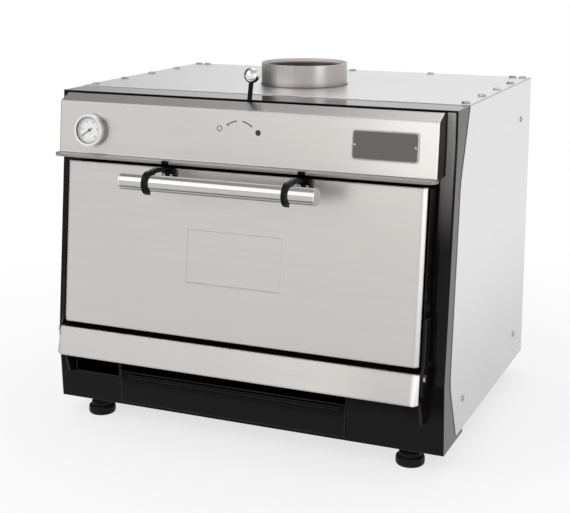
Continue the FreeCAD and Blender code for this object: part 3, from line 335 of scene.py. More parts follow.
@dataclass(frozen=True)
class BrushedSteel(Finish):
    """Stainless sheet with brush streaks, handling smudges and slightly wavy reflections.

    A rim brightens the edges, a shade band darkens a stretch between two heights as painted shade, a shade
    fall darkens downwards between two heights as painted shade, and a seam darkens what lies past a width
    and a height. Painted lights brighten or darken stretches as painted highlights and painted shade. What
    lies inside a shell of half width, depth and height is the sheet's unlit back.
    """

    tint: Colour
    roughness: float
    grain: Grain
    streak: float = 0.05
    smudge: float = 0.08
    wave: float = 0.12
    edge: float = 0.0012
    rim: Colour | None = None
    rim_width: float = 0.002
    # A band of painted shade between two heights, as under the fascia's lip.
    shade_band: Span | None = None
    shade_band_factor: float = 0.55
    shade_band_fade: float = 0.0004
    # Painted shade: the sheet darker towards the bottom between two heights.
    shade_fall: Span | None = None
    shade_fall_factor: float = 0.82
    seam: Span | None = None
    seam_shade: float = 0.5
    seam_fade: float = 0.0005
    # Painted highlights and painted shade across stretches of the sheet.
    painted_lights: tuple[PaintedLight, ...] = ()
    shell: Point | None = None
    shell_fade: float = 0.00005
    back: Colour = (0.02, 0.019, 0.018)

    def shades(self, x: Value, z: Value) -> list[tuple[Value, float]]:
        """Find where the sheet is brighter or duller than the rest: painted shade, painted highlights and
        the seam.

        Args:
            x: The place across.
            z: The height.

        Returns:
            Masks, each with the factor on the tint where it is 1.
        """
        found = []
        if self.shade_fall:
            found.append((z.step(*self.shade_fall), self.shade_fall_factor))
        if self.seam:
            half, height = self.seam
            fold = abs(x).step(half, half + self.seam_fade) * z.step(height, height + self.seam_fade)
            found.append((fold, self.seam_shade))
        found += [(painted.mask(x, z), painted.lift) for painted in self.painted_lights]
        if self.shade_band:
            low, high = self.shade_band
            shaded = z.step(low - self.shade_band_fade, low) * z.step(high + self.shade_band_fade, high)
            found.append((shaded, self.shade_band_factor))
        return found

    def lay(self, graph: Graph) -> None:
        """Lay the finish.

        Args:
            graph: The material's empty graph.
        """
        place = graph.place()
        x, y, z = graph.split(place)
        fine_run, broad_run = self.grain.value
        fine = graph.noise(graph.scaled(place, fine_run), scale=1.0, detail=3)
        broad = graph.noise(graph.scaled(place, broad_run), scale=1.0, detail=2)
        cloud = graph.noise(place, scale=4.0, detail=4)
        level = 0.5 + (fine - 0.5) * 0.9 + (broad - 0.5) * 0.8 + (cloud - 0.5) * 0.5
        colour = graph.mix(level, tinted(self.tint, 1 - self.streak), tinted(self.tint, 1 + self.streak))
        if self.rim:
            colour = graph.mix(graph.edges(self.rim_width), colour, self.rim)
        # Painted shade, painted highlights and the seam's darker line.
        for mask, shade in self.shades(x, z):
            colour = graph.mix(mask, colour, tinted(self.tint, shade))
        if self.shell:
            half, depth, height = self.shell
            beyond = graph.math("MAXIMUM", abs(x) - half, y - depth)
            beyond = graph.math("MAXIMUM", beyond, z - height)
            colour = graph.mix(beyond.step(self.shell_fade, -self.shell_fade), colour, self.back)
        rough = self.roughness + (fine - 0.5) * 0.1 + (cloud - 0.5) * self.smudge
        slow = graph.noise(place, scale=3.0, detail=1)
        normal = graph.bump(slow, strength=self.wave, depth=0.01, normal=graph.rounded(self.edge))
        normal = graph.bump(fine, strength=0.06, depth=0.0004, normal=normal)
        graph.surface(Base_Color=colour, Metallic=1.0, Roughness=rough, Normal=normal)


@dataclass(frozen=True)
class FlueSteel(Finish):
    """Rolled collar: bright outside, heat-tinted by its weld, inside darkened by soot and painted shade
    below a mouth painted as lit.

    The heat fades with the height over the foot, the soot and painted shade start under the rim, and the
    wall's inside ends past the inner radius. Each span runs from off to on, and the wavers make two of the
    borders uneven.
    """

    tint: Colour
    heat: Colour
    # The mouth is painted light, the lit top of the wall's inside; below it the soot colour is soot and
    # painted shade.
    lit_mouth: Colour
    soot: Colour
    centre: Span
    inner: float
    foot: float
    rim: float
    heat_share: float = 0.5
    heat_reach: Span = (0.016, 0.002)
    heat_waver: float = 0.012
    shade_start: Span = (0.0055, 0.0085)
    shade_waver: float = 0.003
    wall: Span = (0.0012, 0.0004)

    def lay(self, graph: Graph) -> None:
        """Lay the finish.

        Args:
            graph: The material's empty graph.
        """
        place = graph.place()
        x, y, z = graph.split(place)
        across = ((x - self.centre[0]) ** 2 + (y - self.centre[1]) ** 2) ** 0.5
        fine = graph.noise(graph.scaled(place, Grain.ACROSS.value[0]), scale=1.0, detail=3)
        cloud = graph.noise(place, scale=14.0, detail=4)
        steel = graph.mix(0.5 + (fine - 0.5) * 0.8, tinted(self.tint, 0.92), tinted(self.tint, 1.06))
        warm = (z + (cloud - 0.5) * self.heat_waver).step(*(self.foot + over for over in self.heat_reach))
        steel = graph.mix(warm * self.heat_share, steel, self.heat)
        inside = across.step(*(self.inner + past for past in self.wall))
        level = z + (cloud - 0.5) * self.shade_waver
        # Soot and painted shade inside below the mouth; the mouth above is painted lit.
        dark = inside * level.step(*(self.rim - under for under in self.shade_start))
        colour = graph.mix(dark, graph.mix(inside, steel, self.lit_mouth), self.soot)
        metal = 1 - inside * 0.7 - dark * 0.2
        rough = 0.3 + inside * 0.2 + dark * 0.3 + (cloud - 0.5) * 0.12
        normal = graph.bump(fine, strength=0.05, depth=0.0004, normal=graph.rounded(0.001))
        graph.surface(Base_Color=colour, Metallic=metal, Roughness=rough, Normal=normal)


@dataclass(frozen=True)
class PaintedReflection:
    """A painted reflection on the paint: the right jamb's inner side and its flange's edge, paler towards
    the top.

    The jamb's inner side lies further out over the shoulder. Each span runs from no painted reflection to
    the full one.
    """

    colour: Colour
    shoulder: Span = (0.612, 0.622)
    set_out: float = 0.0095
    cheek_inner: Span = (0.4262, 0.4282)
    cheek_outer: Span = (0.4545, 0.4525)
    cheek_top: Span = (0.749, 0.7475)
    flange_edge: Span = (0.4596, 0.4599)
    flange_top: Span = (0.7535, 0.753)
    rise: Span = (0.46, 0.74)

    def mask(self, x: Value, z: Value) -> Value:
        """Find where the reflection is painted.

        Args:
            x: The place across.
            z: The height.

        Returns:
            1 where the painted reflection is strongest and 0 where the paint keeps its colour.
        """
        inner = x - z.step(*self.shoulder) * self.set_out
        cheek = inner.step(*self.cheek_inner) * x.step(*self.cheek_outer) * z.step(*self.cheek_top)
        flange = x.step(*self.flange_edge) * z.step(*self.flange_top)
        return (cheek + flange) * z.step(*self.rise)


@dataclass(frozen=True)
class Paint(Finish):
    """Stoved paint with orange peel, dull patches, a little settled dust, painted highlights along its
    edges and, where given, a painted reflection.
    """

    colour: Colour
    roughness: float
    specular: float
    peel: float = 0.06
    dust: float = 0.05
    dust_colour: Colour = (0.35, 0.33, 0.3)
    # Edges lightened as a painted highlight, kept within a width where a painted reflection is set.
    edge_highlight: float = 0.0
    edge_highlight_colour: Colour = (0.16, 0.15, 0.15)
    edge_highlight_width: float = 0.003
    edge_highlight_within: Span = (0.44, 0.43)
    lacquer: float = 0.0
    painted_reflection: PaintedReflection | None = None

    def lay(self, graph: Graph) -> None:
        """Lay the finish.

        Args:
            graph: The material's empty graph.
        """
        place = graph.place()
        cloud = graph.noise(place, scale=6.0, detail=4)
        speck = graph.noise(place, scale=420.0, detail=2)
        skin = graph.noise(place, scale=160.0, detail=2)
        up = graph.split(graph.outward())[2]
        dusty = up.step(0.3, 1.0) * speck.step(0.5, 0.75) * self.dust
        colour = graph.mix(cloud, tinted(self.colour, 0.8), tinted(self.colour, 1.25))
        colour = graph.mix(dusty, colour, self.dust_colour)
        # Painted highlight along the edges.
        edge_highlight = graph.edges(self.edge_highlight_width) * self.edge_highlight
        # Painted reflection on the right jamb and its flange.
        if self.painted_reflection:
            x, _, z = graph.split(place)
            colour = graph.mix(self.painted_reflection.mask(x, z), colour, self.painted_reflection.colour)
            edge_highlight = edge_highlight * abs(x).step(*self.edge_highlight_within)
        colour = graph.mix(edge_highlight, colour, self.edge_highlight_colour)
        rough = self.roughness + (cloud - 0.5) * 0.06 + dusty
        normal = graph.bump(skin, strength=self.peel, depth=0.0006, normal=graph.rounded(0.0012))
        graph.surface(Base_Color=colour, Roughness=rough, Normal=normal, Specular_IOR_Level=self.specular,
                      Coat_Weight=self.lacquer, Coat_Roughness=0.03, Coat_IOR=1.2)


@dataclass(frozen=True)
class HeatSteel(Finish):
    """Plate that has been through many fires: brown and blue tints under soot."""

    bare: Colour
    scorched: Colour
    soot: Colour
    soot_share: float

    def lay(self, graph: Graph) -> None:
        """Lay the finish.

        Args:
            graph: The material's empty graph.
        """
        place = graph.place()
        broad = graph.noise(place, scale=5.0, detail=4)
        small = graph.noise(place, scale=60.0, detail=3)
        colour = graph.mix(broad.step(0.35, 0.65), self.bare, self.scorched)
        dark = (broad * 0.4 + small * 0.6).step(0.7 - self.soot_share, 0.9 - self.soot_share)
        colour = graph.mix(dark, colour, self.soot)
        rough = 0.38 + dark * 0.4 + (small - 0.5) * 0.15
        normal = graph.bump(small, strength=0.15, depth=0.0008, normal=graph.rounded(0.001))
        graph.surface(Base_Color=colour, Metallic=0.9 - dark * 0.8, Roughness=rough, Normal=normal)


@dataclass(frozen=True)
class Galvanised(Finish):
    """Zinc-coated sheet with its spangle."""

    tint: Colour

    def lay(self, graph: Graph) -> None:
        """Lay the finish.

        Args:
            graph: The material's empty graph.
        """
        place = graph.place()
        flake = graph.split(graph.cells(place, scale=90.0)["Color"])[0]
        cloud = graph.noise(place, scale=9.0, detail=3)
        colour = graph.mix(flake * 0.7 + cloud * 0.3, tinted(self.tint, 0.75), tinted(self.tint, 1.2))
        normal = graph.bump(flake, strength=0.05, depth=0.0005, normal=graph.rounded(0.001))
        graph.surface(Base_Color=colour, Metallic=0.95, Roughness=0.36 + flake * 0.16, Normal=normal)


@dataclass(frozen=True)
class CastIron(Finish):
    """Sand-cast iron, grey ash in its pores."""

    colour: Colour
    ash: Colour

    def lay(self, graph: Graph) -> None:
        """Lay the finish.

        Args:
            graph: The material's empty graph.
        """
        place = graph.place()
        pits = Value(graph, graph.cells(place, scale=420.0)["Distance"])
        cloud = graph.noise(place, scale=18.0, detail=4)
        ashy = cloud.step(0.52, 0.75) * 0.6
        colour = graph.mix(pits, tinted(self.colour, 0.7), tinted(self.colour, 1.4))
        colour = graph.mix(ashy, colour, self.ash)
        metal = 0.55 - ashy * 0.5
        normal = graph.bump(pits, strength=0.5, depth=0.001, normal=graph.rounded(0.0015))
        graph.surface(Base_Color=colour, Metallic=metal, Roughness=0.62 + ashy * 0.3, Normal=normal)


@dataclass(frozen=True)
class Polished(Finish):
    """Polished or plated metal with faint wipe marks."""

    tint: Colour
    roughness: float

    def lay(self, graph: Graph) -> None:
        """Lay the finish.

        Args:
            graph: The material's empty graph.
        """
        place = graph.place()
        wipe = graph.noise(graph.scaled(place, (40, 160, 160)), scale=1.0, detail=3)
        cloud = graph.noise(place, scale=30.0, detail=3)
        colour = graph.mix(cloud, tinted(self.tint, 0.94), tinted(self.tint, 1.04))
        rough = self.roughness + (wipe - 0.5) * 0.06 + (cloud - 0.5) * 0.04
        graph.surface(Base_Color=colour, Metallic=1.0, Roughness=rough, Normal=graph.rounded(0.0006))


@dataclass(frozen=True)
class Rubber(Finish):
    """Moulded black rubber with a fine skin and paler scuffs."""

    colour: Colour
    scuffed: Colour

    def lay(self, graph: Graph) -> None:
        """Lay the finish.

        Args:
            graph: The material's empty graph.
        """
        place = graph.place()
        skin = graph.noise(place, scale=300.0, detail=3)
        scuff = graph.noise(graph.scaled(place, (20, 20, 160)), scale=1.0, detail=3).step(0.55, 0.8)
        colour = graph.mix(scuff * 0.3, self.colour, self.scuffed)
        rough = 0.45 + scuff * 0.25
        normal = graph.bump(skin, strength=0.15, depth=0.0005, normal=graph.rounded(0.002))
        graph.surface(Base_Color=colour, Roughness=rough, Normal=normal, Specular_IOR_Level=0.12)


@dataclass(frozen=True)
class Fibre(Finish):
    """Matted or woven mineral fibre."""

    pale: Colour
    deep: Colour
    run: Point
    depth: float

    def lay(self, graph: Graph) -> None:
        """Lay the finish.

        Args:
            graph: The material's empty graph.
        """
        place = graph.place()
        strands = graph.noise(graph.scaled(place, self.run), scale=1.0, detail=4)
        tuft = graph.noise(place, scale=45.0, detail=4)
        height = strands * 0.7 + tuft * 0.3
        colour = graph.mix(height.step(0.3, 0.7), self.deep, self.pale)
        normal = graph.bump(height, strength=0.8, depth=self.depth)
        graph.surface(Base_Color=colour, Roughness=0.92, Normal=normal)


@dataclass(frozen=True)
class Enamel(Finish):
    """Even printed or stoved colour with a faint mottle."""

    colour: Colour
    roughness: float

    def lay(self, graph: Graph) -> None:
        """Lay the finish.

        Args:
            graph: The material's empty graph.
        """
        mottle = graph.noise(graph.place(), scale=120.0, detail=3)
        colour = graph.mix(mottle, tinted(self.colour, 0.96), tinted(self.colour, 1.03))
        normal = graph.bump(mottle, strength=0.04, depth=0.0004, normal=graph.rounded(0.0005))
        graph.surface(Base_Color=colour, Roughness=self.roughness + (mottle - 0.5) * 0.1, Normal=normal)


@dataclass(frozen=True)
class Pane(Finish):
    """Clear gauge glass that shows its own gloss and a trace of dust."""

    colour: Colour
    alpha: float

    def lay(self, graph: Graph) -> None:
        """Lay the finish.

        Args:
            graph: The material's empty graph.
        """
        dust = graph.noise(graph.place(), scale=260.0, detail=3).step(0.55, 0.85)
        graph.surface(Base_Color=self.colour, Roughness=0.04 + dust * 0.1, Alpha=self.alpha + dust * 0.03,
                      Coat_Weight=1.0)


@dataclass(frozen=True)
class PaleFloor(Finish):
    """A floor that shows white with a trace of the shadow on it.

    A dark card lies on it in front of the oven, for reflections alone. Each span runs from off to on.
    """

    pale: Colour = (0.93, 0.93, 0.93)
    paler: Colour = (0.95, 0.95, 0.95)
    card: Colour = (0.04, 0.04, 0.04)
    card_deep: tuple[Span, Span] = ((-0.86, -0.78), (-0.5, -0.58))
    card_across: tuple[Span, Span] = ((-0.8, -0.65), (0.8, 0.65))
    shadow_reach: Span = (1.8, 0.7)
    shadow_share: float = 0.28

    def lay(self, graph: Graph) -> None:
        """Lay the finish.

        Args:
            graph: The material's empty graph.
        """
        place = graph.place()
        x, y, _ = graph.split(place)
        cloud = graph.noise(place, scale=1.2, detail=2)
        colour = graph.mix(cloud, self.pale, self.paler)
        plain = graph.add("ShaderNodeBsdfDiffuse", None, {"Color": colour})
        on_card = graph.rays("Glossy")[0]
        for along, (start, end) in ((y, self.card_deep), (x, self.card_across)):
            on_card = on_card * along.step(*start) * along.step(*end)
        tone = graph.mix(on_card, WHITE, self.card)
        white = graph.add("ShaderNodeEmission", None, {"Color": tone, "Strength": 1.0})
        away = (x ** 2 + y ** 2) ** 0.5
        shown = graph.seen() * (1 - away.step(*self.shadow_reach) * self.shadow_share)
        graph.add("ShaderNodeOutputMaterial", None, {"Surface": graph.blend(shown, plain, white)})


class Finishes:
    """Every finish of the oven, made once."""

    def __init__(self) -> None:
        """Make the materials and keep them by the record's slot, or by node where one differs."""
        flue = FlueTop()
        # Painted highlights on the fascia's right part and right end and on the apron's right end; painted
        # shade on the apron's right part.
        fascia_right_highlight = PaintedLight(start=0.2, full=0.42, low=0.622, high=0.735, lift=1.22)
        fascia_end_highlight = PaintedLight(start=0.432, full=0.4325, low=0.6, high=0.76, lift=1.45)
        apron_right_shade = PaintedLight(start=0.2, full=0.37, low=0.16, high=0.24, lift=0.82)
        apron_end_highlight = PaintedLight(start=0.402, full=0.412, low=0.16, high=0.24, lift=1.4)
        kinds = (
            BrushedSteel("front_steel", (0.57, 0.55, 0.532), roughness=0.3, grain=Grain.ACROSS, edge=0.005,
                         painted_lights=(fascia_right_highlight, fascia_end_highlight, apron_right_shade, apron_end_highlight),
                         # Painted shade under the fascia's lip.
                         shade_band=(FOOT + 0.572, FOOT + 0.5794)),
            BrushedSteel("sheet_steel", (0.775, 0.77, 0.77), roughness=0.34, grain=Grain.DEEP, streak=0.03,
                         # Painted shade: darker towards the bottom of the sheets.
                         shade_fall=(0.45, 0.08), seam=(0.4582, 0.7518), shell=(0.4586, 0.42051, 0.7526)),
            BrushedSteel("handle_steel", (0.52, 0.505, 0.49), roughness=0.13, grain=Grain.ACROSS, wave=0.0),
            # The collar's inside: a mouth painted lit and, below it, soot with painted shade.
            FlueSteel("flue_steel", (0.47, 0.45, 0.435), heat=(0.2, 0.14, 0.11), lit_mouth=(0.92, 0.9, 0.885),
                      soot=(0.37, 0.325, 0.3), centre=(0.0, flue.depth), inner=flue.inner, foot=flue.foot,
                      rim=flue.rim),
            Polished("bolt_steel", (0.42, 0.42, 0.415), roughness=0.16),
            Paint("black_paint", (0.0055, 0.0044, 0.0047), roughness=0.1, specular=0.06, peel=0.03,
                  # Painted highlights along the edges and a painted reflection on the right jamb.
                  edge_highlight=0.45, lacquer=0.6, painted_reflection=PaintedReflection((0.36, 0.34, 0.335))),
            Paint("black_coat", (0.004, 0.004, 0.004), roughness=0.3, specular=0.1, peel=0.12),
            HeatSteel("chamber_steel", bare=(0.22, 0.19, 0.17), scorched=(0.13, 0.09, 0.07),
                      soot=(0.018, 0.016, 0.015), soot_share=0.1),
            Galvanised("galvanised", (0.5, 0.52, 0.53)),
            CastIron("cast_grate", (0.05, 0.047, 0.044), ash=(0.32, 0.31, 0.3)),
            HeatSteel("grid_steel", bare=(0.5, 0.48, 0.45), scorched=(0.3, 0.24, 0.19),
                      soot=(0.03, 0.026, 0.022), soot_share=-0.05),
            Fibre("wool", pale=(0.62, 0.56, 0.4), deep=(0.36, 0.31, 0.2), run=(160, 40, 500), depth=0.003),
            Fibre("rope_seal", pale=(0.42, 0.4, 0.36), deep=(0.2, 0.19, 0.17), run=(700, 700, 700),
                  depth=0.001),
            Polished("bright_trim", (0.78, 0.775, 0.77), roughness=0.1),
            Enamel("dial_white", (0.9, 0.9, 0.885), roughness=0.35),
            Pane("gauge_pane", (0.95, 0.97, 0.97), alpha=0.07),
            Enamel("needle_black", (0.014, 0.014, 0.014), roughness=0.4),
            Polished("bush_brass", (0.62, 0.43, 0.2), roughness=0.3),
            BrushedSteel("plate_grey", (0.125, 0.118, 0.115), roughness=0.4, grain=Grain.ACROSS, wave=0.0,
                         rim=(0.8, 0.79, 0.78), rim_width=0.006),
            Rubber("foot_rubber", (0.006, 0.006, 0.006), scuffed=(0.05, 0.048, 0.046)),
        )
        apart = {
            "door_liner": HeatSteel("sooty_liner", bare=(0.02, 0.017, 0.016), scorched=(0.012, 0.01, 0.009),
                                    soot=(0.006, 0.005, 0.005), soot_share=0.2),
            "gauge_case": Polished("case_steel", (0.4, 0.395, 0.39), roughness=0.2),
            "handle_caps": BrushedSteel("cap_steel", (0.7, 0.69, 0.68), roughness=0.25, grain=Grain.UPRIGHT,
                                        wave=0.0),
            "bottom_plate": Paint("base_black", (0.004, 0.004, 0.004), roughness=0.85, specular=0.0,
                                  peel=0.12),
        }
        weld = HeatSteel("weld_bead", bare=(0.3, 0.27, 0.25), scorched=(0.16, 0.11, 0.09),
                         soot=(0.05, 0.04, 0.035), soot_share=0.0)
        self.by_slot = {kind.name: kind.make() for kind in kinds}
        self.by_node = {node: kind.make() for node, kind in apart.items()}
        self.weld = weld.make()

    def dress_nodes(self) -> None:
        """Give every node of the model the finish of its slot."""
        for entry in frame["record"]["subparts"]:
            slots = frame["nodes"][entry["node"]].data.materials
            slots.clear()
            slots.append(self.by_node.get(entry["node"], self.by_slot[entry["material_slot"]]))


def facing(origin: Vector, out: Vector, up: Vector) -> Matrix:
    """A frame on a face.

    Args:
        origin: Its place.
        out: Its z axis, away from the face.
        up: Roughly its y axis.

    Returns:
        The frame as a matrix.
    """
    z = out.normalized()
    x = up.cross(z).normalized()
    y = z.cross(x)
    turn = Matrix((x, y, z)).transposed().to_4x4()
    return Matrix.Translation(origin) @ turn


def from_datum(x: float, depth: float, height: float) -> Vector:
    """A place from the middle, the front frame's top edge and the body's foot, in millimetres."""
    return Vector((x * MM, DATUM + depth * MM, FOOT + height * MM))


def on_lean(x: float, out: float, up: float, forward: float, height: float) -> Matrix:
    """A frame on a face that leans back, in millimetres.

    Args:
        x: Place across the front.
        out: Distance out of the face.
        up: Distance up the face.
        forward: The face's reference line, in front of the frame's top edge.
        height: The reference line's height over the frame's bottom edge.

    Returns:
        A frame with y up the face and z out of it.
    """
    normal = Vector((0, -math.cos(LEAN), math.sin(LEAN)))
    rise = Vector((0, math.sin(LEAN), math.cos(LEAN)))
    origin = from_datum(x, -forward, height)
    return facing(origin + normal * out * MM + rise * up * MM, normal, rise)


def in_metres(profile: Sequence[Span]) -> list[Span]:
    """Pairs of millimetres as pairs of metres."""
    return [(first * MM, second * MM) for first, second in profile]


def flat_ring(inner: float, outer: float, thick: float) -> list[Span]:
    """The profile of a flat ring, from millimetres."""
    return in_metres([(inner, 0), (outer, 0), (outer, thick), (inner, thick)])


class Shape:
    """Points and faces of one piece, gathered part by part."""

    def __init__(self) -> None:
        """Start with nothing."""
        self.points: list[Vector] = []
        self.faces: list[tuple[int, ...]] = []

    def rings(self, rings: Sequence[Sequence[Vector]], closed: bool = False) -> None:
        """Skin rings of equal length.

        Args:
            rings: The rings, in order.
            closed: Whether the last ring joins the first, rather than both being filled.
        """
        count = len(rings[0])
        start = len(self.points)
        for ring in rings:
            self.points.extend(ring)
        last = len(rings) if closed else len(rings) - 1
        for k in range(last):
            here, there = start + k * count, start + (k + 1) % len(rings) * count
            for j in range(count):
                after = (j + 1) % count
                self.faces.append((here + j, here + after, there + after, there + j))
        if not closed:
            self.faces.append(tuple(start + j for j in reversed(range(count))))
            self.faces.append(tuple(start + last * count + j for j in range(count)))

    def lathe(self, place: Matrix, profile: Sequence[Span], sides: int = 24,
              reach: Callable[[int, float], float] | None = None, closed: bool = False) -> None:
        """Turn a profile about a frame's z axis.

        Args:
            place: The frame.
            profile: Radius and height pairs, in metres.
            sides: Points round each ring.
            reach: Optional factor on the radius, by profile index and angle.
            closed: Whether the profile's last point joins its first.
        """
        rings = []
        for index, (radius, height) in enumerate(profile):
            ring = []
            for j in range(sides):
                angle = 2 * math.pi * j / sides
                far = radius * (reach(index, angle) if reach else 1.0)
                ring.append(place @ Vector((far * math.cos(angle), far * math.sin(angle), height)))
            rings.append(ring)
        self.rings(rings, closed)

    def slab(self, place: Matrix, outline: Sequence[Span], thick: float) -> None:
        """A flat piece on a frame's xy plane from an outline, in metres."""
        self.rings([[place @ Vector((x, y, level)) for x, y in outline] for level in (0, thick)])

    def piece(self, name: str, body: str, material: bpy.types.Material,
              replaces: Sequence[str] = (), smooth: float = HARD_CREASE) -> None:
        """Make the object, shade it and let it ride on a body.

        Args:
            name: The piece's name.
            body: The body that it moves with.
            material: Its material.
            replaces: The nodes that it stands for.
            smooth: Edges flatter than this many degrees are smoothed.
        """
        mesh = bpy.data.meshes.new(name)
        mesh.from_pydata([tuple(point) for point in self.points], [], self.faces)
        mesh.materials.append(material)
        mesh.shade_smooth()
        mesh.set_sharp_from_angle(angle=math.radians(smooth))
        item = bpy.data.objects.new(name, mesh)
        bpy.context.scene.collection.objects.link(item)
        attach(item, body)
        if replaces:
            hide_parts(*replaces)
        log.info("%s: %d faces on %s", name, len(self.faces), body)


def hexagon(angle: float) -> float:
    """Radius of a hexagon over its corner radius, at an angle."""
    sector = math.pi / 3
    return math.cos(sector / 2) / math.cos(angle % sector - sector / 2)


@dataclass
class Fasteners:
    """Hex bolts on the cover and domed screws on the sides, plate and hooks, in millimetres.

    The profiles are shares of a head's or washer's own radius and height. A dome's size is its radius and
    height.
    """

    bolt_corner: float = 8.5
    bolt_head: float = 3.8
    bolt_shank: float = 4.0
    bolt_length: float = 14.0
    bolt_turn: float = 0.7
    bolt_profile: tuple[Span, ...] = ((1, 0.78), (0.87, 1), (0.3, 1), (0.26, 0.94), (0, 0.94))
    washer: float = 9.6
    washer_thick: float = 1.1
    washer_profile: tuple[Span, ...] = ((1, 0), (1, 0.7), (0.95, 1), (0, 1))
    cover_height: float = 711.0
    bolt_rows: float = 443.0
    bolt_depths: tuple[float, ...] = (113, 246, 379, 512, 645)
    back_depth: float = 645.0
    back_places: tuple[float, ...] = (-418, -209, 0, 209, 418)
    side_half: float = 460.0
    side_places: tuple[Span, ...] = ((563, 620), (563, 83), (90, 79))
    side_dome: Span = (7.5, 2.5)
    plate_dome: Span = (3.2, 1.6)
    hook_dome: Span = (3.6, 3.0)
    dome_profile: tuple[Span, ...] = ((1, 0), (1, 0.3), (0.93, 0.62), (0.78, 0.88), (0.55, 1), (0.46, 1),
                                      (0.44, 0.5), (0, 0.45))
    dome_socket: tuple[int, ...] = (5, 6)

    @staticmethod
    def sized(profile: Sequence[Span], radius: float, height: float) -> list[Span]:
        """A profile of shares at its size, from millimetres to metres."""
        return [(max(far * radius * MM, CLOSED), up * height * MM) for far, up in profile]

    def build_bolts(self, finishes: Finishes) -> None:
        """Hex bolts with washers, in place of the plain ones.

        Args:
            finishes: The oven's finishes.
        """
        spots = [(x, depth) for x in (-self.bolt_rows, self.bolt_rows) for depth in self.bolt_depths]
        spots += [(x, self.back_depth) for x in self.back_places]
        head = [(self.bolt_corner * MM, self.washer_thick * MM)]
        head += self.sized(self.bolt_profile, self.bolt_corner, self.bolt_head)
        ring = self.sized(self.washer_profile, self.washer, self.washer_thick)
        shank = in_metres([(self.bolt_shank, -self.bolt_length), (self.bolt_shank, 0)])
        shape = Shape()
        for number, (x, depth) in enumerate(spots):
            place = Matrix.Translation(from_datum(x, depth, self.cover_height))
            place = place @ Matrix.Rotation(self.bolt_turn * number, 4, "Z")
            shape.lathe(place, ring)
            shape.lathe(place, head, reach=lambda index, angle: hexagon(angle) if index < 2 else 1.0)
            shape.lathe(place, shank, sides=12)
        shape.piece("cover_hex_bolts", "carcass", finishes.by_slot["bolt_steel"],
                    ["cover_bolts"])

    def dome(self, shape: Shape, place: Matrix, size: Span) -> None:
        """Add one domed head with a hex socket.

        Args:
            shape: Takes the head.
            place: A frame on the face that it sits on.
            size: Its radius and height.
        """
        shape.lathe(place, self.sized(self.dome_profile, *size),
                    reach=lambda index, angle: hexagon(angle) if index in self.dome_socket else 1.0)

    def build_screws(self, finishes: Finishes, fascia: Fascia, door: Door) -> None:
        """Domed screws, in place of the plain ones.

        Args:
            finishes: The oven's finishes.
            fascia: Gives the plate's screws.
            door: Gives the hooks' bolts.
        """
        up = Vector((0, 0, 1))
        sides = [facing(from_datum(side * self.side_half, depth, height), Vector((side, 0, 0)), up)
                 for side in (-1, 1) for depth, height in self.side_places]
        plate = [fascia.spot(x, fascia.plate_out, fascia.plate_screw_up) for x in fascia.plate_screws]
        hooks = [door.spot(x, door.hook_face, door.hook_bolt_up) for x in door.hook_bolts]
        for name, body, plain, places, size in (
                ("side_dome_screws", "carcass", "side_screws", sides, self.side_dome),
                ("plate_dome_screws", "carcass", "plate_screws", plate, self.plate_dome),
                ("hook_dome_bolts", "door", "handle_bolts", hooks, self.hook_dome)):
            shape = Shape()
            for place in places:
                self.dome(shape, place, size)
            shape.piece(name, body, finishes.by_slot["bolt_steel"], [plain])


@dataclass
class FlueTop:
    """The collar on the cover and the weld round its foot, in metres.

    The ripple, the waver, the stand-off and the lift are shares of the bead's radius.
    """

    depth: float = DATUM + 0.315
    radius: float = 0.1
    inner: float = 0.0973
    foot: float = FOOT + 0.711
    rim: float = FOOT + 0.762
    bead: float = 0.0016
    ripples: int = 150
    ripple: float = 0.13
    wavers: int = 5
    waver: float = 0.12
    stand_off: float = 0.3
    lift: float = 0.25

    def build(self, finishes: Finishes) -> None:
        """Lay a rippled weld bead where the collar meets the cover.

        Args:
            finishes: The oven's finishes.
        """
        sides, turns = 8, self.ripples * 4
        rings = []
        for k in range(turns):
            angle = 2 * math.pi * k / turns
            ripple = self.ripple * math.sin(self.ripples * angle)
            waver = self.waver * math.sin(self.wavers * angle + 1)
            size = self.bead * (1 + ripple + waver)
            ring = []
            for j in range(sides):
                turn = 2 * math.pi * j / sides
                far = self.radius + self.stand_off * self.bead + size * math.cos(turn)
                up = max(0.0, self.lift * self.bead + size * math.sin(turn))
                ring.append(Vector((far * math.cos(angle), self.depth + far * math.sin(angle),
                                    self.foot + up)))
            rings.append(ring)
        shape = Shape()
        shape.rings(rings, closed=True)
        shape.piece("collar_weld", "carcass", finishes.weld)


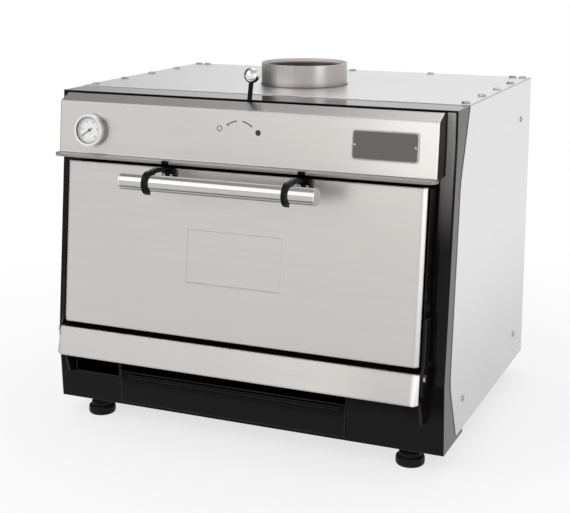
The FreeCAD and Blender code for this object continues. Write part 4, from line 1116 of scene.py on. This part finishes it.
@dataclass
class Fascia:
    """The panel over the door: dial markings and lever marks, in millimetres.

    A tick's size is its length and width. The dial's angles and the arrows' angles are in degrees.
    """

    forward: float = 49.0
    height: float = 692.0
    gauge_x: float = -352.5
    gauge_up: float = -61.3
    dial_out: float = 11.04
    glass_out: float = 17.01
    # A black ring on the glass stands in for the shade inside the bezel: painted shade.
    shade_ring_inner: float = 28.4
    shade_ring_outer: float = 29.45
    seal_thick: float = 0.8
    ink: float = 0.08
    tick_outer: float = 27.6
    major_tick: Span = (4.2, 0.55)
    minor_tick: Span = (2.4, 0.28)
    numeral: float = 4.3
    numeral_radius: float = 19.6
    start: float = 225.0
    sweep: float = 270.0
    majors: int = 10
    minors: int = 50
    top_number: int = 500
    plate_screws: Span = (261.5, 389.5)
    plate_out: float = 2.0
    plate_screw_up: float = -54.0
    mark_x: float = 3.5
    mark_out: float = 0.05
    mark_up: float = -65.6
    arc_radius: float = 44.0
    arc_start: float = 8.0
    arc_step: float = 3.2
    arc_points: int = 10
    stroke: float = 2.2
    barb: float = 0.7
    tip: float = 0.1
    ring_at: Span = (-45.5, 26.1)
    ring_hole: float = 4.6
    dot_at: Span = (43.5, 21.6)
    dot_hole: float = 0.001
    ring_radius: float = 6.2

    def spot(self, x: float, out: float, up: float) -> Matrix:
        """A frame on the fascia's face."""
        return on_lean(x, out, up, self.forward, self.height)

    def reading(self, share: float) -> float:
        """The angle of a share of the dial's sweep, in radians."""
        return math.radians(self.start - self.sweep * share)

    def build_dial(self, finishes: Finishes) -> None:
        """Print the ticks and the plain numbers, and lay a black ring on the glass as painted shade inside
        the bezel.

        Args:
            finishes: The oven's finishes.
        """
        ink = finishes.by_slot["needle_black"]
        face = self.spot(self.gauge_x, self.dial_out, self.gauge_up)
        shape = Shape()
        high = self.tick_outer * MM
        for count, (length, width) in ((self.majors, self.major_tick), (self.minors, self.minor_tick)):
            low, half = high - length * MM, width * MM / 2
            outline = [(low, -half), (high, -half), (high, half), (low, half)]
            for k in range(count + 1):
                place = face @ Matrix.Rotation(self.reading(k / count), 4, "Z")
                shape.slab(place, outline, self.ink * MM)
        shape.piece("dial_ticks", "carcass", ink)
        shape = Shape()
        # A black ring on the glass: painted shade inside the bezel.
        shape.lathe(self.spot(self.gauge_x, self.glass_out, self.gauge_up),
                    flat_ring(self.shade_ring_inner, self.shade_ring_outer, self.seal_thick), sides=64, closed=True)
        shape.piece("gauge_shade_ring", "carcass", ink)
        for k in range(0, self.majors + 1, 2):
            self.build_number(face, k, ink)

    def build_number(self, face: Matrix, k: int, ink: bpy.types.Material) -> None:
        """Print one number on the dial.

        Args:
            face: The dial's frame.
            k: Which of the long ticks it belongs to.
            ink: Its material.
        """
        name = f"dial_number_{k}"
        text = bpy.data.curves.new(name, "FONT")
        text.body = str(self.top_number * k // self.majors)
        text.size = self.numeral * MM
        text.align_x = "CENTER"
        text.align_y = "CENTER"
        text.extrude = self.ink * MM / 2
        text.materials.append(ink)
        item = bpy.data.objects.new(name, text)
        bpy.context.scene.collection.objects.link(item)
        angle = self.reading(k / self.majors)
        offset = Vector((math.cos(angle), math.sin(angle), 0)) * self.numeral_radius * MM
        item.matrix_world = face @ Matrix.Translation(offset)
        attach(item, "carcass")
        log.info("%s: %s on the dial", name, text.body)

    def build_marks(self, finishes: Finishes) -> None:
        """Two curved arrows between an open ring and a filled one, for the damper.

        Args:
            finishes: The oven's finishes.
        """
        face = self.spot(self.mark_x, self.mark_out, self.mark_up)
        shape = Shape()
        inner, outer = self.arc_radius - self.stroke / 2, self.arc_radius + self.stroke / 2
        barb = self.stroke * self.barb
        for side in (-1, 1):
            turns = [self.arc_start + self.arc_step * k for k in range(self.arc_points)]
            arc = [math.radians(90 - side * turn) for turn in turns]
            end = arc[-1]
            line = [(inner, angle) for angle in arc] + [(outer, angle) for angle in reversed(arc)]
            head = [(outer + barb, end), (self.arc_radius, end - side * self.tip), (inner - barb, end)]
            for outline in (line, head):
                spots = [(radius * math.cos(angle), radius * math.sin(angle)) for radius, angle in outline]
                shape.slab(face, in_metres(spots), self.ink * MM)
        for (x, up), hole in ((self.ring_at, self.ring_hole), (self.dot_at, self.dot_hole)):
            place = face @ Matrix.Translation((x * MM, up * MM, 0))
            shape.lathe(place, flat_ring(hole, self.ring_radius, self.ink), sides=32, closed=True)
        shape.piece("damper_marks", "carcass", finishes.by_slot["needle_black"])


@dataclass
class Door:
    """The drop-down door: rope seal and wool slab, in millimetres from the hinge line."""

    forward: float = 89.0
    height: float = 178.0
    hook_bolts: tuple[float, ...] = (-165.6, -148.4, 148.4, 165.6)
    hook_face: float = 21.85
    hook_bolt_up: float = 369.3
    seal_half: float = 377.0
    seal_foot: float = 47.5
    seal_head: float = 367.0
    seal_out: float = -34.54
    seal_wide: float = 13.6
    seal_thick: float = 9.1
    seal_corner: float = 12.0
    seal_bends: int = 8
    seal_step: float = 3.0
    lay: float = 19.0
    lay_depth: float = 0.07
    wool_half: float = 405.6
    wool_low: float = 25.7
    wool_high: float = 380.1
    wool_front: float = 10.05
    wool_back: float = -27.5

    def spot(self, x: float, out: float, up: float) -> Matrix:
        """A frame on the door."""
        return on_lean(x, out, up, self.forward, self.height)

    def seal_path(self) -> list[tuple[float, float, float]]:
        """Follow the seal round the mouth.

        Returns:
            Points in order: x, up and the outward angle at each.
        """
        middle = (self.seal_foot + self.seal_head) / 2
        half_tall = (self.seal_head - self.seal_foot) / 2
        flat_x, flat_up = self.seal_half - self.seal_corner, half_tall - self.seal_corner
        path = []
        for quarter, (sx, su) in enumerate(((1, 1), (-1, 1), (-1, -1), (1, -1))):
            begin = quarter * math.pi / 2
            for k in range(self.seal_bends + 1):
                angle = begin + math.pi / 2 * k / self.seal_bends
                path.append((sx * flat_x + self.seal_corner * math.cos(angle),
                             middle + su * flat_up + self.seal_corner * math.sin(angle), angle))
            run = 2 * (flat_x if quarter % 2 == 0 else flat_up)
            angle = begin + math.pi / 2
            ahead = Vector((-math.sin(angle), math.cos(angle)))
            corner = Vector(path[-1][:2])
            for k in range(1, int(run / self.seal_step)):
                spot = corner + ahead * self.seal_step * k
                path.append((spot.x, spot.y, angle))
        return path

    def build(self, finishes: Finishes) -> None:
        """Wind the rope seal round the mouth and lay the wool inside the door.

        Args:
            finishes: The oven's finishes.
        """
        face = self.spot(0, self.seal_out, 0)
        sides = 20
        rings = []
        travel = 0.0
        before = None
        for x, up, angle in self.seal_path():
            here = Vector((x, up))
            travel += (here - before).length if before is not None else 0.0
            before = here
            out = Vector((math.cos(angle), math.sin(angle)))
            ring = []
            for j in range(sides):
                turn = 2 * math.pi * j / sides
                strand = abs(math.cos(2 * turn + 2 * math.pi * travel / self.lay))
                swell = 1 - self.lay_depth * (1 - strand)
                spot = here + out * (self.seal_wide / 2 * math.cos(turn) * swell)
                lift = self.seal_thick / 2 * math.sin(turn) * swell
                ring.append(face @ Vector((spot.x * MM, spot.y * MM, lift * MM)))
            rings.append(ring)
        shape = Shape()
        shape.rings(rings, closed=True)
        shape.piece("door_rope_seal", "door", finishes.by_slot["rope_seal"], ["door_gasket"],
                    SOFT_CREASE)
        low = Vector((-self.wool_half, self.wool_low, self.wool_back)) * MM
        high = Vector((self.wool_half, self.wool_high, self.wool_front)) * MM
        shape = Shape()
        wool_slab(shape, self.spot(0, 0, 0), low, high)
        shape.piece("door_wool", "door", finishes.by_slot["wool"], ["door_insulation"], SOFT_CREASE)


@dataclass
class Feet:
    """Rubber pads with rounded rims, in millimetres."""

    side: float = 376.0
    depths: Span = (-8.0, 600.0)
    profile: tuple[Span, ...] = (
        (0.1, 0), (24, 0), (28, 0.9), (30.3, 3.2), (31, 6.5), (31, 15), (30.4, 18.3), (28.4, 20.5),
        (25.2, 21), (24.2, 21.7), (24, 23), (24, 28.2), (23.3, 29), (0.1, 29))

    def build(self, finishes: Finishes) -> None:
        """Turn the four pads, in place of the plain ones.

        Args:
            finishes: The oven's finishes.
        """
        shape = Shape()
        for x in (-self.side, self.side):
            for depth in self.depths:
                place = Matrix.Translation((x * MM, DATUM + depth * MM, 0))
                shape.lathe(place, in_metres(self.profile), sides=48)
        shape.piece("rubber_feet", "carcass", finishes.by_slot["foot_rubber"], ["foot_pads"])


def wool_slab(shape: Shape, place: Matrix, low: Vector, high: Vector) -> None:
    """Add a soft-edged, slightly uneven slab inside a box.

    Args:
        shape: Takes the slab.
        place: The box's frame.
        low: The box's lowest corner.
        high: Its highest corner.
    """
    tuck, tuck_power = 0.02, 6
    dent, dents_round, dents_up = 0.006, 9, 5
    levels, sides = 10, 48
    middle, half = (low + high) / 2, (high - low) / 2
    rings = []
    for k in range(levels + 1):
        level = -1 + 2 * k / levels
        pull = 1 - tuck * abs(level) ** tuck_power
        ring = []
        for j in range(sides):
            turn = 2 * math.pi * j / sides
            edge = max(abs(math.cos(turn)), abs(math.sin(turn)))
            x, y = math.cos(turn) / edge, math.sin(turn) / edge
            share = pull - dent * (1 + math.sin(dents_round * turn + dents_up * level))
            ring.append(place @ (middle + Vector((x * share * half.x, y * share * half.y, level * half.z))))
        rings.append(ring)
    shape.rings(rings)


@dataclass
class Insulation:
    """Wool slabs round the chamber, in metres."""

    wall: float = 0.08
    duct: float = 0.0985

    def build(self, finishes: Finishes) -> None:
        """Replace each plain slab with soft ones; the top's four lie round the duct.

        Args:
            finishes: The oven's finishes.
        """
        back = [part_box("back_insulation")]
        low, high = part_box("side_insulation")
        sides = [(low, Vector((low.x + self.wall, high.y, high.z))),
                 (Vector((high.x - self.wall, low.y, low.z)), high)]
        low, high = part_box("top_insulation")
        front, behind = FlueTop().depth - self.duct, FlueTop().depth + self.duct
        top = [(low, Vector((high.x, front, high.z))),
               (Vector((low.x, behind, low.z)), high),
               (Vector((low.x, front, low.z)), Vector((-self.duct, behind, high.z))),
               (Vector((self.duct, front, low.z)), Vector((high.x, behind, high.z)))]
        for name, plain, boxes in (("back_wool", "back_insulation", back),
                                   ("side_wool", "side_insulation", sides),
                                   ("top_wool", "top_insulation", top)):
            shape = Shape()
            for first, last in boxes:
                wool_slab(shape, Matrix.Identity(4), first, last)
            shape.piece(name, "carcass", finishes.by_slot["wool"], [plain], SOFT_CREASE)


@dataclass(frozen=True)
class Lamp:
    """One soft square lamp: its place and size in metres and its power in watts."""

    name: str
    spot: Point
    size: float
    power: float

    def hang(self, aim: Vector) -> None:
        """Hang the lamp.

        Args:
            aim: The point that it faces.
        """
        data = bpy.data.lights.new(self.name, "AREA")
        data.size = self.size
        data.energy = self.power
        lamp = bpy.data.objects.new(self.name, data)
        lamp.location = self.spot
        lamp.rotation_euler = (aim - Vector(self.spot)).to_track_quat("-Z", "Y").to_euler()
        bpy.context.scene.collection.objects.link(lamp)


@dataclass
class Studio:
    """Pale floor, white surroundings, soft lamps and the camera.

    The focal length is in the photograph's pixels, and its width is given in them too. The ceiling and the
    corner are parts of the surroundings by direction, each span running from off to on.
    """

    photo_width: int = 570
    eye: Point = (1.1031, -2.626088, 1.081267)
    yaw: float = -0.4033
    pitch: float = -0.1908
    roll: float = 0.0006
    focal: float = 1246.44
    shift: float = -0.13
    sensor: float = 36.0
    far_clip: float = 100.0
    floor_reach: float = 14.0
    fill_level: float = 0.75
    ceiling: Colour = (0.56, 0.56, 0.57)
    ceiling_up: Span = (0.3, 0.75)
    corner: Colour = (0.14, 0.14, 0.14)
    corner_across: Span = (-0.3, -0.75)
    corner_deep: tuple[Span, Span] = ((-0.7, -0.1), (1.0, 0.76))
    aim: Point = (0.0, 0.0, 0.45)
    lamps: tuple[Lamp, ...] = (
        Lamp("key", (-2.3, -3.0, 3.3), size=3.4, power=50.0),
        Lamp("side", (3.2, -1.5, 0.8), size=1.6, power=11.0),
        Lamp("front", (-0.24, -3.4, 1.2), size=1.0, power=2.6),
        Lamp("top", (0.3, 1.2, 3.6), size=2.4, power=13.0),
    )

    def build_camera(self) -> None:
        """Set the camera where the photograph was taken from."""
        level = Vector((math.sin(self.yaw), math.cos(self.yaw), 0))
        ahead = level * math.cos(self.pitch) + Vector((0, 0, math.sin(self.pitch)))
        right = Vector((math.cos(self.yaw), -math.sin(self.yaw), 0))
        right = right * math.cos(self.roll) + right.cross(ahead) * math.sin(self.roll)
        above = right.cross(ahead)
        data = bpy.data.cameras.new("camera")
        data.sensor_width = self.sensor
        data.lens = self.focal / self.photo_width * self.sensor
        data.shift_y = self.shift
        data.clip_end = self.far_clip
        turn = Matrix((right, above, -ahead)).transposed().to_4x4()
        camera = bpy.data.objects.new("camera", data)
        camera.matrix_world = Matrix.Translation(self.eye) @ turn
        bpy.context.scene.collection.objects.link(camera)
        bpy.context.scene.camera = camera

    def build_floor(self) -> None:
        """Lay a large pale floor."""
        reach = self.floor_reach
        edge = [(-reach, -reach, 0), (reach, -reach, 0), (reach, reach, 0), (-reach, reach, 0)]
        mesh = bpy.data.meshes.new("floor")
        mesh.from_pydata(edge, [], [(0, 1, 2, 3)])
        mesh.materials.append(PaleFloor("floor").make())
        floor = bpy.data.objects.new("floor", mesh)
        bpy.context.scene.collection.objects.link(floor)

    def build_world(self) -> None:
        """White surroundings for the eye and in reflections, a dimmer ceiling and corner, and even fill."""
        world = bpy.data.worlds.new("studio")
        world.use_nodes = True
        graph = Graph(world.node_tree)
        x, y, up = graph.split(graph.add("ShaderNodeTexCoord").outputs["Generated"])
        unseen = 1 - graph.rays("Camera")[0]
        near, far = self.corner_deep
        corner = x.step(*self.corner_across) * y.step(*near) * y.step(*far)
        colour = graph.mix(up.step(*self.ceiling_up) * unseen, WHITE, self.ceiling)
        colour = graph.mix(corner * unseen, colour, self.corner)
        show = graph.add("ShaderNodeBackground", None, {"Color": colour, "Strength": 1.0})
        fill = graph.add("ShaderNodeBackground", None, {"Color": WHITE, "Strength": self.fill_level})
        graph.add("ShaderNodeOutputWorld", None, {"Surface": graph.blend(graph.seen(), fill, show)})
        bpy.context.scene.world = world

    def build(self) -> None:
        """Set up everything round the oven."""
        self.build_camera()
        self.build_floor()
        self.build_world()
        for lamp in self.lamps:
            lamp.hang(Vector(self.aim))
        bpy.context.scene.view_settings.view_transform = "Standard"


def main() -> None:
    """Dress the oven and set the scene."""
    logging.basicConfig(level=logging.INFO)
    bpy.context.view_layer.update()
    Studio().build()
    finishes = Finishes()
    finishes.dress_nodes()
    fascia, door, fasteners = Fascia(), Door(), Fasteners()
    fascia.build_dial(finishes)
    fascia.build_marks(finishes)
    door.build(finishes)
    FlueTop().build(finishes)
    Feet().build(finishes)
    Insulation().build(finishes)
    fasteners.build_bolts(finishes)
    fasteners.build_screws(finishes, fascia, door)


if __name__ == "__main__":
    main()
